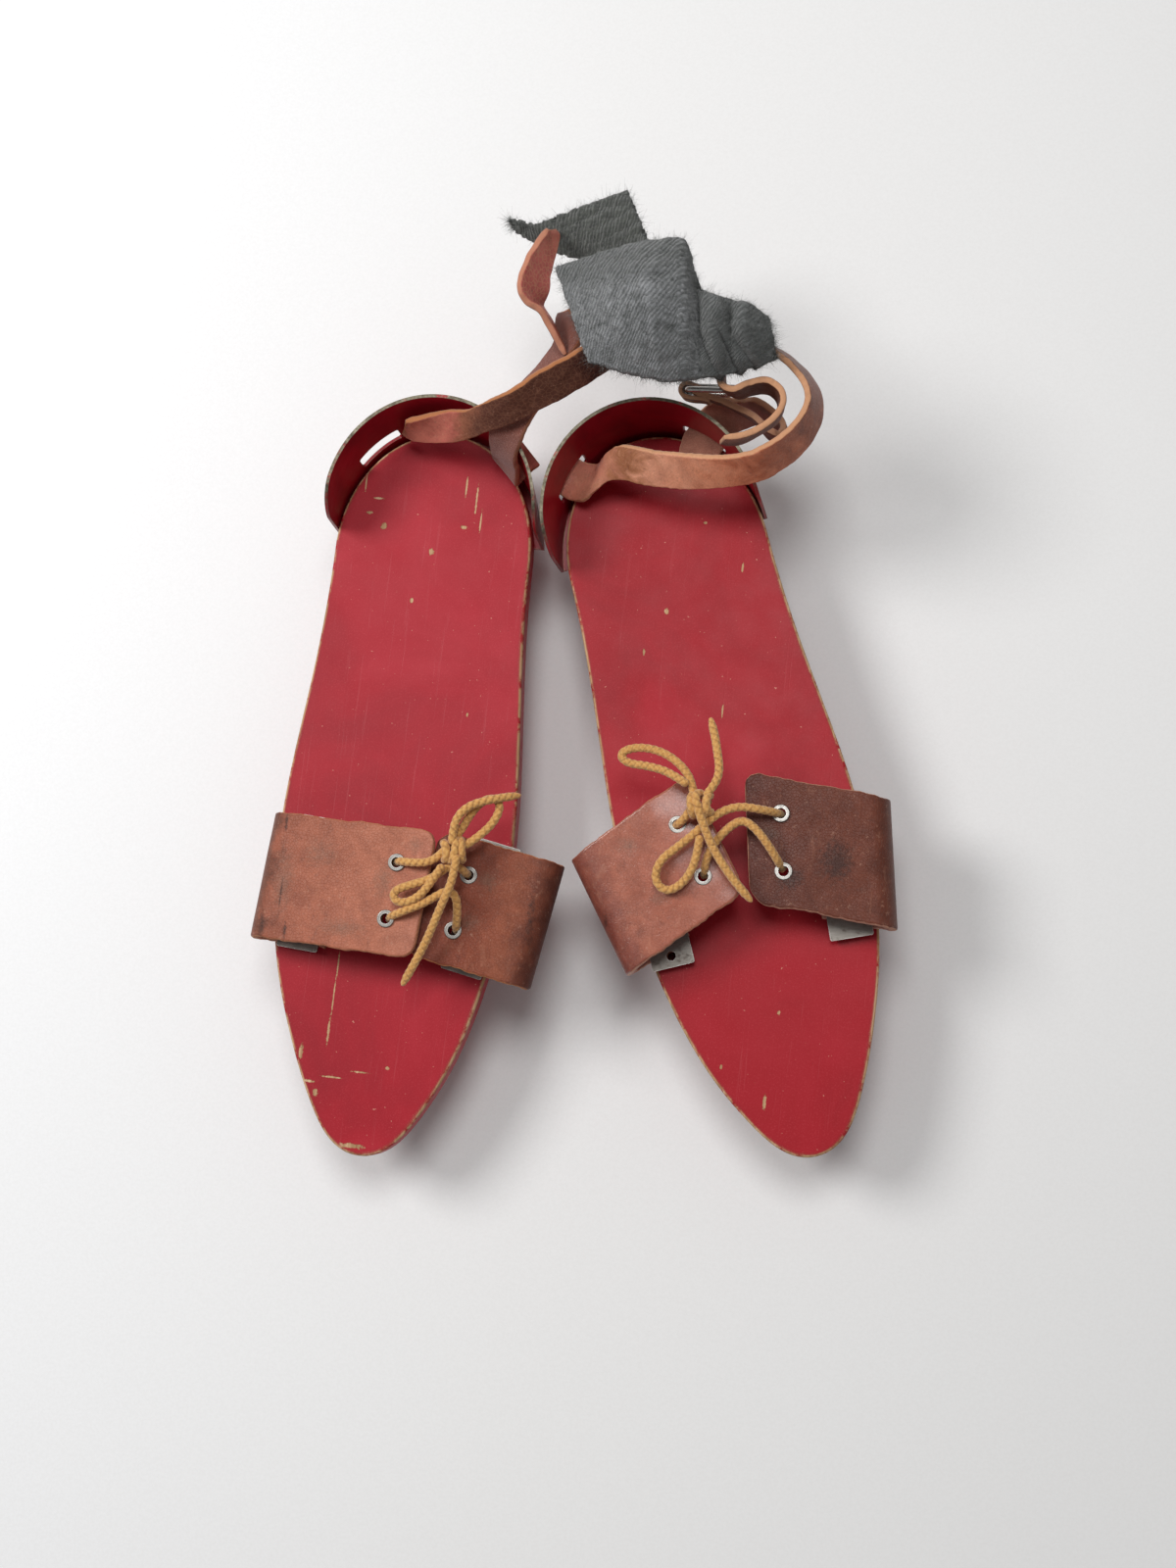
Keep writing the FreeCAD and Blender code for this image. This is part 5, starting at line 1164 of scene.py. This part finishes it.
def hairs(name, side, points, ways, count, length, seed):
    """Short hairs on a surface, each a thin three-sided strand.

    Its spine is base + way * reach * share + bend * reach * share ^ 2, and it thins to a quarter.
    """
    made = np.random.default_rng(seed)
    pick = made.integers(0, len(points), count)
    base = points[pick]
    way = ways[pick] + made.normal(size=(count, 3)) * 0.75
    way /= np.linalg.norm(way, axis=1, keepdims=True)
    bend = made.normal(size=(count, 3)) * 0.5
    reach = length * made.uniform(0.35, 1.3, count)[:, None]
    vertices, faces = [], []
    turn = np.stack([np.cross(way, (0.3, 0.5, 0.8)), np.cross(way, (0.8, -0.3, 0.5))])
    for share in (0.0, 0.5, 1.0):
        spine = base + way * reach * share + bend * reach * share ** 2
        thick = HAIR_THICK * (1.0 - 0.75 * share)
        for corner in range(3):
            angle = corner * 2 * math.pi / 3
            vertices.append(spine + (turn[0] * math.cos(angle) + turn[1] * math.sin(angle)) * thick)
    vertices = np.stack(vertices, 1)
    for k in (0, 3):
        for corner in range(3):
            following = (corner + 1) % 3
            faces.append([k + corner, k + following, k + 3 + following, k + 3 + corner])
    faces = (np.array(faces)[None] + (np.arange(count) * 9)[:, None, None]).reshape(-1, 4)
    return make_object(name, at_place(side, vertices.reshape(-1, 3)), faces)


def make_felt(side, rows, material, hair, edge_hairs, top_hairs, grooves=()):
    """One felt pad with a lumpy face, ragged edges, loose hairs and grooves.

    A groove runs at start + swing * (share across) ^ 2 of the pad's length; its profile is a bell
    curve of that width, and it fades in past its reach.
    """
    grid = felt_grid(rows)
    seed = seed_of(side + "felt")
    normal = facing_of(grid)
    normal *= np.where(normal[..., 2:] < 0, -1, 1)
    grid += normal * (wobble(grid, 5.0, seed) * 0.22 + wobble(grid, 1.6, seed + 1) * 0.10)[..., None]
    inward = grid.mean((0, 1)) - grid
    inward /= np.linalg.norm(inward, axis=-1, keepdims=True)
    rows_count, columns = grid.shape[:2]
    i, j = np.meshgrid(np.arange(rows_count), np.arange(columns), indexing="ij")
    border = np.minimum(np.minimum(i, rows_count - 1 - i), np.minimum(j, columns - 1 - j))
    near = np.clip(1 - border / 6.0, 0, 1)
    ragged = np.abs(wobble(grid, 2.2, seed + 2)) * 0.7 + np.abs(wobble(grid, 8.0, seed + 3)) * 0.6
    grid += inward * (ragged * near ** 2)[..., None]
    half = FELT_THICK / 2 * (0.45 + 0.55 * np.clip(border / 4.0, 0, 1))
    far = np.repeat(np.linspace(1, 0, columns)[None], rows_count, 0)
    deep = np.zeros_like(far)
    for start, swing, width, reach in grooves:
        share = np.linspace(0, 1, rows_count)[:, None]
        track = start + swing * (1 - far) ** 2
        groove = np.exp(-((share - track) / width) ** 2) * np.clip((1 - far - reach) / 0.25, 0, 1)
        deep = np.maximum(deep, groove)
    grid[..., 2] -= GROOVE_DEPTH * deep
    piece = slab(side + "_felt", side, grid, half, values={"far": far, "deep": deep})
    settle(piece, side + "_skate", "wool_felt", material, side + "_felt_pad")
    width = np.linalg.norm(np.diff(grid, axis=1), axis=2).sum(1).mean()
    rim = border <= 1
    out = -inward[rim] + normal[rim] * 0.3
    one = hairs(side + "_felt_edge_hairs", side, grid[rim], out, edge_hairs, EDGE_HAIR, seed + 5)
    top = grid + normal * FELT_THICK / 2
    two = hairs(side + "_felt_top_hairs", side, top.reshape(-1, 3), normal.reshape(-1, 3), top_hairs,
                TOP_HAIR, seed + 6)
    for piece_of_hair in (one, two):
        settle(piece_of_hair, side + "_skate", "wool_felt", hair)


HAIR = fibre_material()
DARK_FELT = felt_material("dark_felt", tone(38, 43, 38), tone(80, 86, 76), tone(52, 58, 50))
PALE_FELT = felt_material("pale_felt", tone(70, 76, 74), tone(168, 170, 174), tone(128, 130, 134), 0.9, 1.0)
make_felt("left", FELTS["left"], DARK_FELT, HAIR, 1600, 3000)
make_felt("right", FELTS["right"], PALE_FELT, HAIR, 3200, 9000,
          grooves=[(0.60, 0.14, 0.022, 0.02), (0.70, 0.15, 0.020, 0.25), (0.80, 0.12, 0.016, 0.5)])


# Table: a smooth pale board under the runners.  It belongs to the picture, not to the pair, and lies
# a hair below them.

TABLE_LEVEL = -0.0003


def make_table():
    """Pale table, darker from left to right: painted shade for the window light's fall-off."""
    vertices = np.array([(-3, -3, 0), (3, -3, 0), (3, 3, 0), (-3, 3, 0)], float)
    vertices[:, 2] = TABLE_LEVEL
    table = make_object("table", vertices, np.array([[0, 1, 2, 3]]))
    material, g, shader = new_material("pale_table")
    place = g.add("SeparateXYZ", {0: g.place()})
    # Painted shade: the table's colour falls off from left to right, as the window light does.
    shade = g.step(place.outputs["X"], -0.25, 0.36)
    colour = g.ramp(shade, [(0.0, tone(249, 250, 252)), (0.5, tone(241, 241, 241)),
                            (1.0, tone(235, 235, 235))])
    speckle = g.step(g.noise(g.place(), 900.0, 4.0, 0.75), 0.40, 0.62)
    colour = g.mix(g.times(speckle, 0.10), colour, tone(206, 204, 202))
    finish_material(g, shader, Base_Color=colour, Roughness=0.55, Specular_IOR_Level=0.2)
    table.data.materials.append(material)


make_table()
